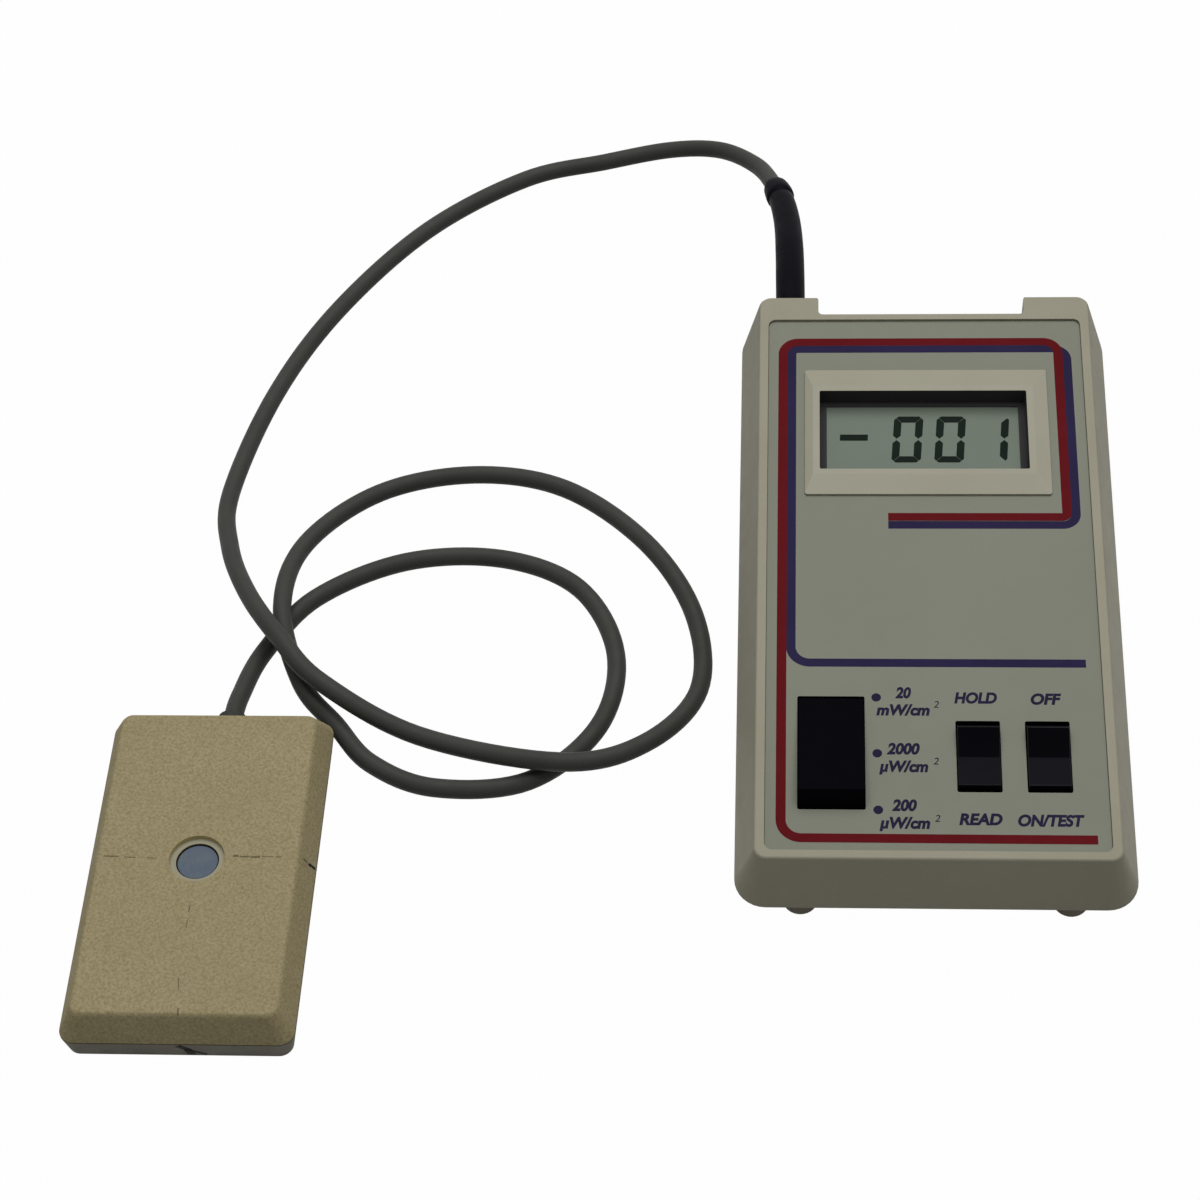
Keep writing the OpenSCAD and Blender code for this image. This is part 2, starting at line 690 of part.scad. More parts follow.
module display_mask() color([0.1, 0.1, 0.11]) placed() on_label() difference() {
    translate([0, window_v, lcd_level]) linear_extrude(mask_t) square([lcd_w, lcd_l], center = true);
    translate([window_u, window_v, lcd_level - cut]) linear_extrude(mask_t + 2 * cut)
        square([mask_open_w, mask_open_l], center = true);
}

module lcd_glass() color([0.55, 0.6, 0.53]) placed() on_label()
    translate([-lcd_w / 2, window_v - lcd_l / 2, strip_level]) cube([lcd_w, lcd_l, lcd_t]);

module lcd_holder() color([0.15, 0.15, 0.15]) placed() on_label() difference() {
    translate([-holder_w / 2, window_v - holder_l / 2, display_board_level])
        cube([holder_w, holder_l, -mask_d - display_board_level]);
    translate([-lcd_w / 2 - seat_gap, window_v - lcd_l / 2 - seat_gap, display_board_level - cut])
        cube([lcd_w + 2 * seat_gap, lcd_l + 2 * seat_gap, -mask_d - display_board_level + 2 * cut]);
}

module contact_strips() color([0.85, 0.55, 0.6]) placed() on_label()
    for (side = [-1, 1])
        translate([-lcd_w / 2, window_v + side * (lcd_l / 2 - strip_w / 2) - strip_w / 2,
            display_board_level])
            cube([lcd_w, strip_w, strip_h]);

module display_board() color([0.1, 0.35, 0.2]) placed() on_label() difference() {
    translate([-board_w / 2, display_board_front_v, display_board_level - board_t])
        cube([board_w, display_board_rear_v - display_board_front_v, board_t]);
    translate([board_notch_u - label_w, window_v + holder_l / 2, display_board_level - board_t - cut])
        cube([label_w, label_len, board_t + 2 * cut]);
    display_posts() translate([0, 0, display_board_level - board_t - cut])
        cylinder(d = board_screw_d + 2 * seat_gap, h = board_t + 2 * cut);
}

// Dual in-line package under a board, with its legs
module chip(l, w, t) {
    leg_pitch = 2.54;
    legs = round(l / leg_pitch);
    leg = 0.5;
    translate([-l / 2, -w / 2, -t]) cube([l, w, t]);
    for (i = [0:legs - 1], side = [-1, 1])
        translate([(i - (legs - 1) / 2) * leg_pitch - leg / 2, side * w / 2 - leg / 2, -t / 2])
            cube([leg, leg, t / 2]);
}

module meter_chip() color([0.12, 0.12, 0.13]) placed() on_label()
    translate([0, window_v, display_board_level - board_t])
        chip(meter_chip_l, meter_chip_w, meter_chip_t);

module trim_pots() color([0.15, 0.3, 0.6]) placed() on_label()
    for (u = [-trimmer_spread, trimmer_spread])
        translate([u, window_v + holder_l / 2 + 1, display_board_level]) {
            translate([-trimmer_w / 2, 0, 0]) cube([trimmer_w, trimmer_w, trimmer_h]);
            translate([0, trimmer_w / 2, trimmer_h]) cylinder(d = trimmer_w * 0.4, h = trimmer_h * 0.2);
        }

module switch_board() color([0.1, 0.35, 0.2]) placed() on_label() difference() {
    translate([-board_w / 2, switch_board_front_v, switch_board_level - board_t])
        cube([board_w, switch_board_rear_v - switch_board_front_v, board_t]);
    switch_board_posts() translate([0, 0, switch_board_level - board_t - cut])
        cylinder(d = board_screw_d + 2 * seat_gap, h = board_t + 2 * cut);
    terminal_places() translate([0, 0, switch_board_level - board_t - cut])
        cylinder(d = terminal_d + 2 * seat_gap, h = board_t + 2 * cut);
}

module amplifier_chip() color([0.12, 0.12, 0.13]) placed() on_label()
    translate([0, switch_post_rear[1], switch_board_level]) rotate([180, 0, 0])
        chip(amplifier_l, amplifier_w, amplifier_t);

module switch_housing(u, v, w, r) {
    outer_w = w + 2 * (rocker_gap + cheek_t);
    outer_l = 2 * (r + rocker_gap + cheek_t);
    top = under_level - axle_level;
    translate([u, v, axle_level]) difference() {
        translate([-outer_w / 2, -outer_l / 2, -housing_well - housing_floor])
            cube([outer_w, outer_l, top + housing_well + housing_floor]);
        translate([-w / 2 - rocker_gap, -r - rocker_gap, -housing_well])
            cube([w + 2 * rocker_gap, 2 * (r + rocker_gap), top + housing_well + cut]);
        rotate([0, 90, 0]) cylinder(d = axle_d + 2 * axle_gap, h = outer_w + 2 * cut, center = true);
    }
}

module range_switch_housing() color([0.1, 0.1, 0.11]) placed() on_label()
    switch_housing(range_u, range_v, range_w, range_r);

module hold_switch_housing() color([0.1, 0.1, 0.11]) placed() on_label()
    switch_housing(hold_u, small_v, small_w, small_r);

module power_switch_housing() color([0.1, 0.1, 0.11]) placed() on_label()
    switch_housing(power_u, small_v, small_w, small_r);

terminal_d = 1;
terminal_len = 3.2;
terminal_pitch = 4.7;

module terminal_places() {
    for (p = [[range_u, range_v], [hold_u, small_v], [power_u, small_v]])
        for (du = [-1, 1], dv = [-1, 0, 1])
            translate([p[0] + du * terminal_pitch / 2, p[1] + dv * terminal_pitch, 0]) children();
}

module switch_terminals() color([0.8, 0.78, 0.7]) placed() on_label()
    terminal_places() translate([0, 0, switch_board_level - terminal_len])
        cylinder(d = terminal_d, h = terminal_len);

// Flat lead between the two boards, past the battery's end
module ribbon_cable() color([0.55, 0.55, 0.58]) placed() on_label() {
    lead_lap = 2.5;
    lead_u = well_x1 + battery_gap;
    start_w = switch_board_level - board_t;
    end_w = display_board_level - board_t;
    path = [[switch_board_rear_v - lead_lap, start_w], [switch_board_rear_v, start_w],
        [display_board_front_v, end_w], [display_board_front_v + lead_lap, end_w]];
    back = [for (i = [len(path) - 1:-1:0]) path[i] - [0, lead_t]];
    translate([lead_u, 0, 0]) rotate([90, 0, 90]) linear_extrude(lead_w) polygon(concat(path, back));
}

module battery_terminals(x, d, h) {
    terminal_apart = 12.7;
    for (side = [-1, 1])
        translate([x, battery_y + side * terminal_apart / 2, battery_z + battery_t / 2])
            rotate([0, 90, 0]) cylinder(d = d, h = h);
}

module battery() color([0.2, 0.2, 0.22]) placed() {
    translate([battery_x - battery_l / 2, battery_y - battery_w / 2, battery_z])
        cube([battery_l, battery_w, battery_t]);
    battery_terminals(battery_x + battery_l / 2, 5.8, terminal_h);
}

module battery_snap() color([0.12, 0.12, 0.12]) placed() difference() {
    snap_w = 25;
    snap_h = 11;
    translate([battery_x + battery_l / 2 + seat_gap, battery_y - snap_w / 2,
        battery_z + (battery_t - snap_h) / 2])
        cube([snap_t - seat_gap, snap_w, snap_h]);
    battery_terminals(battery_x + battery_l / 2 - cut, 5.8 + 2 * seat_gap, terminal_h + 0.3 + cut);
}

module sensor_socket() color([0.16, 0.16, 0.17]) placed() difference() {
    along_socket(socket_seat_y - socket_len) cylinder(d = socket_d, h = socket_len);
    along_socket(socket_seat_y - plug_depth - seat_gap) cylinder(d = plug_d + 0.1, h = plug_depth + cut);
}

module rubber_feet() color([0.5, 0.48, 0.42]) placed() both_sides()
    for (y = [foot_front_y, foot_rear_y]) translate([foot_pitch / 2, y, 0]) {
        cylinder(d1 = foot_flat_d, d2 = foot_d, h = foot_bevel_h);
        translate([0, 0, foot_bevel_h]) cylinder(d = foot_d, h = foot_h - foot_bevel_h);
    }

module screw(d, len, head_d, head_h) {
    difference() {
        translate([0, 0, -head_h]) cylinder(d = head_d, h = head_h);
        translate([-head_d / 2 - cut, -head_d / 16, -head_h - cut])
            cube([head_d + 2 * cut, head_d / 8, head_h / 2 + cut]);
    }
    cylinder(d = d - 2 * thread_gap, h = len);
}

module case_screws() color([0.6, 0.6, 0.62]) placed() both_sides()
    for (s = screw_holes) translate(s) screw(screw_d, screw_len, screw_head_d, screw_head_h);

module board_screws() color([0.6, 0.6, 0.62]) placed() on_label() {
    grip = 4.2;
    display_posts() translate([0, 0, display_board_level - board_t]) screw(board_screw_d, grip, 3, 1.2);
    switch_board_posts() translate([0, 0, switch_board_level - board_t])
        screw(board_screw_d, grip, 3, 1.2);
}

module battery_door() color([0.66, 0.64, 0.56]) placed() difference() {
    grip_w = 18;
    grip_d = 1;
    grip_pitch = 2.4;
    union() {
        translate([door_x - door_w / 2, door_y - door_l / 2, door_z]) cube([door_w, door_l, door_t]);
        translate([door_x - door_w / 2 - tongue_w, door_y - door_l / 2, door_z + door_t - tongue_t])
            cube([door_w + 2 * tongue_w, door_l, tongue_t]);
    }
    for (i = [0:3])
        translate([door_x - grip_w / 2, door_y - door_l / 2 + 4 + i * grip_pitch, door_z])
            rotate([0, 90, 0]) cylinder(d = grip_d, h = grip_w);
}

// Rocker about its axle: a flat or a dished top over a hub, with ends round the axle
module rocker(w, r, middle_h, edge_h) {
    intersection() {
        rotate([90, 0, 90]) linear_extrude(w, center = true)
            polygon([[-r, rocker_skirt], [-hub_half, -rocker_hub], [hub_half, -rocker_hub],
                [r, rocker_skirt], [r, edge_h], [0, middle_h], [-r, edge_h]]);
        rotate([0, 90, 0]) cylinder(r = r, h = w + cut, center = true);
    }
    rotate([0, 90, 0])
        cylinder(d = axle_d, h = w + 2 * (rocker_gap + cheek_t) - 2 * seat_gap, center = true);
}

module range_rocker() color([0.08, 0.08, 0.09]) placed() on_label()
    translate([range_u, range_v, axle_level]) rotate([-range_turn, 0, 0])
        rocker(range_w, range_r, range_top, range_top);

module small_rocker(u) {
    translate([u, small_v, axle_level]) rotate([small_turn, 0, 0])
        rocker(small_w, small_r, small_top, small_top + small_r * tan(small_turn));
}

module hold_rocker() color([0.08, 0.08, 0.09]) placed() on_label() small_rocker(hold_u);

module power_rocker() color([0.08, 0.08, 0.09]) placed() on_label() small_rocker(power_u);

module plug_barrel() color([0.7, 0.7, 0.72]) placed()
    along_socket(socket_seat_y - plug_depth) difference() {
        cylinder(d = plug_d, h = plug_depth + boot_start_y - socket_seat_y);
        translate([0, 0, -cut]) cylinder(d = plug_d - 1.2, h = plug_depth - 2 + cut);
    }

module plug_pins() color([0.85, 0.7, 0.3]) placed()
    along_socket(socket_seat_y - plug_depth + 1)
        for (k = [0:2]) rotate([0, 0, 120 * k]) translate([plug_d / 5, 0, 0])
            cylinder(d = 0.8, h = plug_depth - 3);

// Boot from the lug to its end collar, swept along the first part of the route
module cable_boot() color([0.07, 0.07, 0.08]) placed() {
    last = cable_start;
    collar_s = last - 0.7;
    stations = concat([for (k = [0:boot_steps * (last - 1)]) [k / boot_steps, boot_d / 2]],
        [[collar_s - 0.05, boot_d / 2], [collar_s, boot_collar_d / 2], [last - 0.3, boot_collar_d / 2],
            [last, boot_collar_d / 2 - 0.7]]);
    polyhedron([for (s = stations) each ring(s[0], s[1], boot_sides)],
        tube_faces(len(stations), boot_sides));
}

module cable() color([0.3, 0.3, 0.28]) placed() {
    last = len(cable_route) - 1;
    stations = concat([for (i = [0:last - 1])
        let(n = max(1, round(norm(cable_route[i + 1] - cable_route[i]) / ring_step)))
        for (k = [0:n - 1]) i + k / n], [last]);
    polyhedron([for (s = stations) each ring(cable_start + s, cable_d / 2, cable_sides)],
        tube_faces(len(stations), cable_sides));
}

// Spread of the sensor's sides at a height
function sensor_spread(z) = sensor_flare * (sensor_h - z) / (sensor_h - sensor_split);

// Outline of the sensor's cover, spread by an amount, with its top at a height
module cover_outline(apart, z) {
    translate([0, 0, z - slab / 2]) linear_extrude(slab / 2) offset(sensor_r + apart)
        square([sensor_w - 2 * sensor_r, sensor_l - 2 * sensor_r], center = true);
}

module sensor_cover_solid() {
    $fn = 32;
    hull() {
        cover_outline(-0.7 * sensor_edge, sensor_h);
        cover_outline(-0.1 * sensor_edge, sensor_h - 0.28 * sensor_edge);
        cover_outline(sensor_spread(sensor_h - sensor_edge), sensor_h - sensor_edge);
        outline(sensor_belt_w, -sensor_belt_l / 2, sensor_belt_l / 2, sensor_r + 1, sensor_split);
    }
}

module sensor_cover_cavity() {
    $fn = 32;
    hull() {
        outline(sensor_w - sensor_wall, sensor_wall / 2 - sensor_l / 2, sensor_l / 2 - sensor_wall / 2, 1,
            sensor_h - sensor_wall - slab);
        outline(sensor_belt_w - 2 * sensor_wall, sensor_wall - sensor_belt_l / 2,
            sensor_belt_l / 2 - sensor_wall, sensor_r, sensor_split - cut);
    }
}

module cable_hole() {
    translate([cable_off, sensor_belt_l / 2 - 3 * sensor_wall, cable_in_z]) rotate([-90, 0, 0])
        cylinder(d = grommet_d + 2 * seat_gap, h = 6 * sensor_wall);
}

module sensor_cover() color([0.68, 0.62, 0.45]) placed() at_sensor() difference() {
    union() {
        difference() {
            sensor_cover_solid();
            sensor_cover_cavity();
        }
        translate([0, 0, filter_z - ring_h])
            cylinder(d = counterbore_d + 2 * sensor_wall,
                h = sensor_h - sensor_wall / 2 - filter_z + ring_h);
        four_corners() translate([sensor_screw_at[0], sensor_screw_at[1], sensor_split])
            cylinder(d = sensor_boss_d, h = sensor_h - sensor_wall / 2 - sensor_split);
    }
    translate([0, 0, filter_z - ring_h - cut])
        cylinder(d = filter_d + 2 * filter_lip + 2 * seat_gap, h = ring_h + filter_t + cut);
    cylinder(d = filter_d, h = sensor_h + cut);
    translate([0, 0, sensor_h - counterbore_depth])
        cylinder(d = counterbore_d, h = counterbore_depth + cut);
    four_corners() translate([sensor_screw_at[0], sensor_screw_at[1], sensor_split - cut])
        cylinder(d = sensor_screw_d, h = sensor_h - sensor_wall - sensor_split);
    cable_hole();
}

module sensor_base() color([0.5, 0.49, 0.44]) placed() at_sensor() difference() {
    $fn = 32;
    lower_w = sensor_belt_w - 2 * sensor_draft;
    lower_l = sensor_belt_l - 2 * sensor_draft;
    union() {
        difference() {
            hull() {
                outline(sensor_belt_w, -sensor_belt_l / 2, sensor_belt_l / 2, sensor_r + 1,
                    sensor_split - slab);
                outline(lower_w, -lower_l / 2, lower_l / 2, sensor_r + 0.6, 0);
            }
            outline(lower_w - 2 * sensor_wall, sensor_wall - lower_l / 2, lower_l / 2 - sensor_wall,
                sensor_r, sensor_floor, sensor_split);
        }
        four_corners() translate([sensor_screw_at[0], sensor_screw_at[1], 0])
            cylinder(d = sensor_boss_d, h = sensor_split);
        translate([0, 0, sensor_floor / 2]) for (y = [-1, 1])
            translate([-sensor_board_w * 0.4, y * sensor_board_l * 0.375 - 1.5, 0])
                cube([sensor_board_w * 0.8, 3, sensor_board_z - sensor_floor / 2]);
    }
    four_corners() translate([sensor_screw_at[0], sensor_screw_at[1], -cut]) {
        cylinder(d = sensor_screw_d + 2 * seat_gap, h = sensor_split + 2 * cut);
        cylinder(d = 2 * sensor_screw_d + 2 * seat_gap, h = 1.4 + cut);
    }
    cable_hole();
}

module filter_glass() color([0.45, 0.52, 0.66]) placed() at_sensor()
    translate([0, 0, filter_z]) cylinder(d = filter_d + 2 * filter_lip, h = filter_t);

module filter_ring() color([0.2, 0.2, 0.2]) placed() at_sensor()
    translate([0, 0, filter_z - ring_h]) difference() {
        cylinder(d = filter_d + 2 * filter_lip, h = ring_h);
        translate([0, 0, -cut]) cylinder(d = diode_d - 1, h = ring_h + 2 * cut);
    }

module photodiode() color([0.7, 0.65, 0.4]) placed() at_sensor()
    translate([0, 0, sensor_board_z + board_t]) {
        cylinder(d = diode_d, h = 0.5);
        cylinder(d = diode_d - 1, h = diode_h);
    }

module sensor_board() color([0.1, 0.35, 0.2]) placed() at_sensor()
    translate([-sensor_board_w / 2, -sensor_board_l / 2, sensor_board_z])
        cube([sensor_board_w, sensor_board_l, board_t]);

module sensor_screws() color([0.6, 0.6, 0.62]) placed() at_sensor() four_corners()
    translate([sensor_screw_at[0], sensor_screw_at[1], 1.4])
        screw(sensor_screw_d, sensor_split + 1.5, 2 * sensor_screw_d, 1.2);

module cable_grommet() color([0.1, 0.1, 0.1]) placed() at_sensor() difference() {
    translate([cable_off, sensor_belt_l / 2 - 2 * sensor_wall, cable_in_z]) rotate([-90, 0, 0])
        cylinder(d = grommet_d, h = 2 * sensor_wall + grommet_lap);
    translate([cable_off, sensor_belt_l / 2 - 4 * sensor_wall, cable_in_z]) rotate([-90, 0, 0])
        cylinder(d = cable_d + 0.1, h = 8 * sensor_wall);
}

top_case();
base_case();
label_panel();
display_bezel();
display_mask();
lcd_glass();
lcd_holder();
contact_strips();
display_board();
meter_chip();
trim_pots();
switch_board();
amplifier_chip();
range_switch_housing();
hold_switch_housing();
power_switch_housing();
switch_terminals();
ribbon_cable();
battery();
battery_snap();
sensor_socket();
rubber_feet();
case_screws();
board_screws();
battery_door();
range_rocker();
hold_rocker();
power_rocker();
plug_barrel();
plug_pins();
cable_boot();
cable();
sensor_cover();
sensor_base();
filter_glass();
filter_ring();
photodiode();
sensor_board();
sensor_screws();
cable_grommet();
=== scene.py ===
import json
import math

import bmesh
import bpy
from mathutils import Matrix, Vector
from mathutils.bvhtree import BVHTree

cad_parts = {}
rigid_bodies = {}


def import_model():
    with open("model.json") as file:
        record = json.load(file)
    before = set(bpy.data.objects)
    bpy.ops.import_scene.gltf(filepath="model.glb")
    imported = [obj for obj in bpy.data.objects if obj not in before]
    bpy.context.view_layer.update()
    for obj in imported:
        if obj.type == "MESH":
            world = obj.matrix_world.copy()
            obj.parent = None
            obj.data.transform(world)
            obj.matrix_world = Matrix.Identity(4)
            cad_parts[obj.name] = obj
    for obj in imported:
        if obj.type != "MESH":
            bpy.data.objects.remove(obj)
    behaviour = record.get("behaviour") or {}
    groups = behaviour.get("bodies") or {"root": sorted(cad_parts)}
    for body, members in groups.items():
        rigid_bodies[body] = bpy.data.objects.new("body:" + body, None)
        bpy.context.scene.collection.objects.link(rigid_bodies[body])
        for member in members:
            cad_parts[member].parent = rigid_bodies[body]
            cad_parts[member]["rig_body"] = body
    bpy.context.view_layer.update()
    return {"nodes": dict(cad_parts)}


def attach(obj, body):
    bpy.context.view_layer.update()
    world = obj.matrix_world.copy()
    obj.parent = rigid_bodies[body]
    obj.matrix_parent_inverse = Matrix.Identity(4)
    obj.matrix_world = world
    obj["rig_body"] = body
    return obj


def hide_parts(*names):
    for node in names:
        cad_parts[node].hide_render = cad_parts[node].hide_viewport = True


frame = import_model()
cadNodes = frame["nodes"]
scene = bpy.context.scene
scene.view_settings.view_transform = "Standard"
print("frame loaded,", len(cadNodes), "nodes")

# lengths below are in millimetres, measured from the meter's middle and its label's front edge
mm = 0.001
meterPlace = {"middle": (-67.5, 52.63), "labelTilt": 7.0, "labelFront": 18.5}
sensorPlace = {"middle": (-152.4, 1.5)}


def meterPoint(x, y, z):
    return Vector((x - meterPlace["middle"][0], y - meterPlace["middle"][1], z)) * mm


labelFrame = Matrix.Translation(meterPoint(0, 0, meterPlace["labelFront"])) @ Matrix.Rotation(
    math.radians(meterPlace["labelTilt"]), 4, "X"
)


def labelPoint(u, v, w=0.0):
    return labelFrame @ (Vector((u, v, w)) * mm)


def sensorPoint(x, y, z):
    return meterPoint(sensorPlace["middle"][0] + x, sensorPlace["middle"][1] + y, z)


def tone(red, green, blue):  # screen values to the shader's own
    def channel(c):
        c /= 255
        return c / 12.92 if c <= 0.04045 else ((c + 0.055) / 1.055) ** 2.4

    return (channel(red), channel(green), channel(blue), 1.0)


# camera where the photograph was taken from
cameraSet = {
    "place": (38.776, -410.881, 514.192),
    "pitch": 49.254,
    "yaw": -5.724,
    "roll": 4.187,
    "lens": 90.14,
    "sensorWidth": 36,
    "clip": (0.02, 20),  # metres
}


def placeCamera(settings):
    pitch, yaw, roll = (math.radians(settings[k]) for k in ("pitch", "yaw", "roll"))
    ahead = Vector((math.sin(yaw) * math.cos(pitch), math.cos(yaw) * math.cos(pitch), -math.sin(pitch)))
    right = Vector((math.cos(yaw), -math.sin(yaw), 0))
    down = ahead.cross(right)
    across = math.cos(roll) * right + math.sin(roll) * down
    downward = -math.sin(roll) * right + math.cos(roll) * down
    data = bpy.data.cameras.new("photoCamera")
    data.lens = settings["lens"]
    data.sensor_width = settings["sensorWidth"]
    data.clip_start, data.clip_end = settings["clip"]
    camera = bpy.data.objects.new("photoCamera", data)
    scene.collection.objects.link(camera)
    turn = Matrix((across, -downward, -ahead)).transposed().to_4x4()
    camera.matrix_world = Matrix.Translation(Vector(settings["place"]) * mm) @ turn
    scene.camera = camera


placeCamera(cameraSet)
print("camera placed")

# what every finish has unless its own settings say otherwise
finishSet = {
    "patchScale": 45, "patchDetail": 4, "grainDetail": 2, "grainRoughness": 0.6, "roughScale": 260,
    "speckAmount": 1, "speckRange": (0.5, 0.75), "specular": 0.5, "metallic": 0.0,
    "noiseTurn": (0.5, 0.35, 0.7), "noiseDetail": 3.0, "noiseRoughness": 0.55, "noiseSpan": (0.35, 0.65),
}


def newMaterial(name):
    material = bpy.data.materials.new(name)
    material.use_nodes = True
    tree = material.node_tree
    return material, tree, tree.nodes["Principled BSDF"]


# noise is turned askew, so that flat faces don't cut it along its cells
def addNoise(tree, scale, detail=finishSet["noiseDetail"], roughness=finishSet["noiseRoughness"]):
    place = tree.nodes.new("ShaderNodeTexCoord")
    askew = tree.nodes.new("ShaderNodeMapping")
    askew.inputs["Rotation"].default_value = finishSet["noiseTurn"]
    grain = tree.nodes.new("ShaderNodeTexNoise")
    grain.inputs["Scale"].default_value = scale
    grain.inputs["Detail"].default_value = detail
    grain.inputs["Roughness"].default_value = roughness
    tree.links.new(place.outputs["Object"], askew.inputs["Vector"])
    tree.links.new(askew.outputs["Vector"], grain.inputs["Vector"])
    return grain.outputs["Fac"]


def addRange(tree, value, low, high, source=finishSet["noiseSpan"]):
    span = tree.nodes.new("ShaderNodeMapRange")
    ends = {"From Min": source[0], "From Max": source[1], "To Min": low, "To Max": high}
    for name, amount in ends.items():
        span.inputs[name].default_value = amount
    tree.links.new(value, span.inputs["Value"])
    return span.outputs["Result"]


def addMix(tree, factor, first, second):
    mix = tree.nodes.new("ShaderNodeMix")
    mix.data_type = "RGBA"
    tree.links.new(factor, mix.inputs["Factor"])
    for socket, colour in ((mix.inputs["A"], first), (mix.inputs["B"], second)):
        if isinstance(colour, tuple):
            socket.default_value = colour
        else:
            tree.links.new(colour, socket)
    return mix.outputs["Result"]


def addBump(tree, height, distance):
    bump = tree.nodes.new("ShaderNodeBump")
    bump.inputs["Distance"].default_value = distance * mm
    bump.inputs["Strength"].default_value = 1.0
    tree.links.new(height, bump.inputs["Height"])
    return bump.outputs["Normal"]


# a finish: two tones in soft patches, fine grain with or without specks, uneven gloss
def surface(own):
    settings = {**finishSet, **own}
    material, tree, shader = newMaterial(settings["name"])
    patches = addRange(tree, addNoise(tree, settings["patchScale"], settings["patchDetail"]), 0, 1)
    colour = addMix(tree, patches, tone(*settings["colour"]), tone(*settings["patch"]))
    fine = addNoise(tree, settings["grainScale"], settings["grainDetail"], settings["grainRoughness"])
    if "speck" in settings:
        specks = addRange(tree, fine, 0, settings["speckAmount"], settings["speckRange"])
        colour = addMix(tree, specks, colour, tone(*settings["speck"]))
    tree.links.new(colour, shader.inputs["Base Color"])
    gloss = addNoise(tree, settings["roughScale"])
    tree.links.new(addRange(tree, gloss, *settings["roughness"]), shader.inputs["Roughness"])
    shader.inputs["Specular IOR Level"].default_value = settings["specular"]
    shader.inputs["Metallic"].default_value = settings["metallic"]
    tree.links.new(addBump(tree, fine, settings["grainDepth"]), shader.inputs["Normal"])
    return material


casePlastic = surface({
    "name": "casePlastic", "colour": (150, 146, 129), "patch": (146, 142, 125), "patchScale": 30,
    "speck": (134, 130, 112), "speckAmount": 0.3, "grainScale": 2600, "grainDepth": 0.02,
    "roughness": (0.54, 0.62), "specular": 0.14,
})
labelFilm = surface({
    "name": "labelFilm", "colour": (126, 128, 115), "patch": (123, 125, 112), "patchScale": 22,
    "speck": (118, 119, 106), "speckAmount": 0.25, "grainScale": 3600, "grainDepth": 0.006,
    "roughness": (0.52, 0.58), "specular": 0.1,
})
bezelPlastic = surface({
    "name": "bezelPlastic", "colour": (151, 148, 131), "patch": (147, 144, 127), "grainScale": 2200,
    "grainDepth": 0.004, "roughness": (0.32, 0.38), "specular": 0.16,
})
rockerBlack = surface({
    "name": "rockerBlack", "colour": (9, 9, 13), "patch": (7, 7, 10), "grainScale": 2400,
    "grainDepth": 0.01, "roughness": (0.46, 0.54), "specular": 0.004,
})
# painted sheen: a lighter grey for the up-facing front halves of the hold and power rockers, standing in for
# the light they reflect
rockerPaintedSheen = surface({
    "name": "rockerPaintedSheen", "colour": (24, 23, 28), "patch": (27, 26, 32), "grainScale": 2400,
    "grainDepth": 0.01, "roughness": (0.46, 0.54), "specular": 0.004,
})
# painted highlight: a lighter grey on the eased edges of the hold and power rockers, standing in for edges
# catching the light
rockerEdgeHighlight = surface({
    "name": "rockerEdgeHighlight", "colour": (44, 44, 48), "patch": (36, 36, 40), "grainScale": 2400,
    "grainDepth": 0.01, "roughness": (0.4, 0.5), "specular": 0.02,
})
# black parts; the same black is also painted shade on the switch-opening walls of the case and label and on
# the ring round the sensor's window
blackPlasticAndShade = surface({
    "name": "blackPlasticAndShade", "colour": (22, 21, 22), "patch": (18, 17, 18), "grainScale": 1800,
    "grainDepth": 0.01, "roughness": (0.55, 0.65), "specular": 0.01,
})
# the display's black mask; on the bezel's inner walls the same black is painted shade, for the recess walls
# in shadow
windowMaskAndShade = surface({
    "name": "windowMaskAndShade", "colour": (62, 61, 62), "patch": (57, 56, 57), "grainScale": 1800,
    "grainDepth": 0.01, "roughness": (0.55, 0.65), "specular": 0.01,
})
sensorTan = surface({
    "name": "sensorTan", "colour": (158, 147, 114), "patch": (153, 142, 109), "patchScale": 60,
    "speck": (133, 122, 89), "speckAmount": 1.0, "speckRange": (0.34, 0.68), "grainScale": 1700,
    "grainDepth": 0.05, "roughness": (0.68, 0.8), "specular": 0.12,
})
sensorBare = surface({
    "name": "sensorBare", "colour": (146, 142, 120), "patch": (138, 134, 112), "grainScale": 1800,
    "grainDepth": 0.02, "roughness": (0.5, 0.6), "specular": 0.2,
})
# painted light: a lighter tone for the wall of the sensor's bore, standing in for light reaching into the
# recess
sensorWallPaintedLight = surface({
    "name": "sensorWallPaintedLight", "colour": (190, 175, 124), "patch": (180, 165, 116), "grainScale": 1800,
    "grainDepth": 0.02, "roughness": (0.5, 0.6), "specular": 0.1,
})
sensorGrey = surface({
    "name": "sensorGrey", "colour": (130, 127, 115), "patch": (124, 121, 110), "patchScale": 60,
    "speck": (116, 112, 99), "speckAmount": 0.5, "grainScale": 2300, "grainDepth": 0.04,
    "roughness": (0.65, 0.78), "specular": 0.12,
})
footRubber = surface({
    "name": "footRubber", "colour": (124, 120, 106), "patch": (116, 112, 99), "grainScale": 1500,
    "grainDepth": 0.02, "roughness": (0.7, 0.85), "specular": 0.12,
})
grommetRubber = surface({
    "name": "grommetRubber", "colour": (58, 58, 55), "patch": (52, 52, 50), "grainScale": 1500,
    "grainDepth": 0.02, "roughness": (0.6, 0.75), "specular": 0.1,
})
cableRubber = surface({
    "name": "cableRubber", "colour": (60, 60, 57), "patch": (55, 55, 52), "patchScale": 60,
    "grainScale": 1400, "grainDepth": 0.008, "roughness": (0.48, 0.58), "specular": 0.1,
})
bootRubber = surface({
    "name": "bootRubber", "colour": (17, 17, 22), "patch": (13, 13, 17), "grainScale": 1500,
    "grainDepth": 0.012, "roughness": (0.4, 0.5), "specular": 0.015,
})
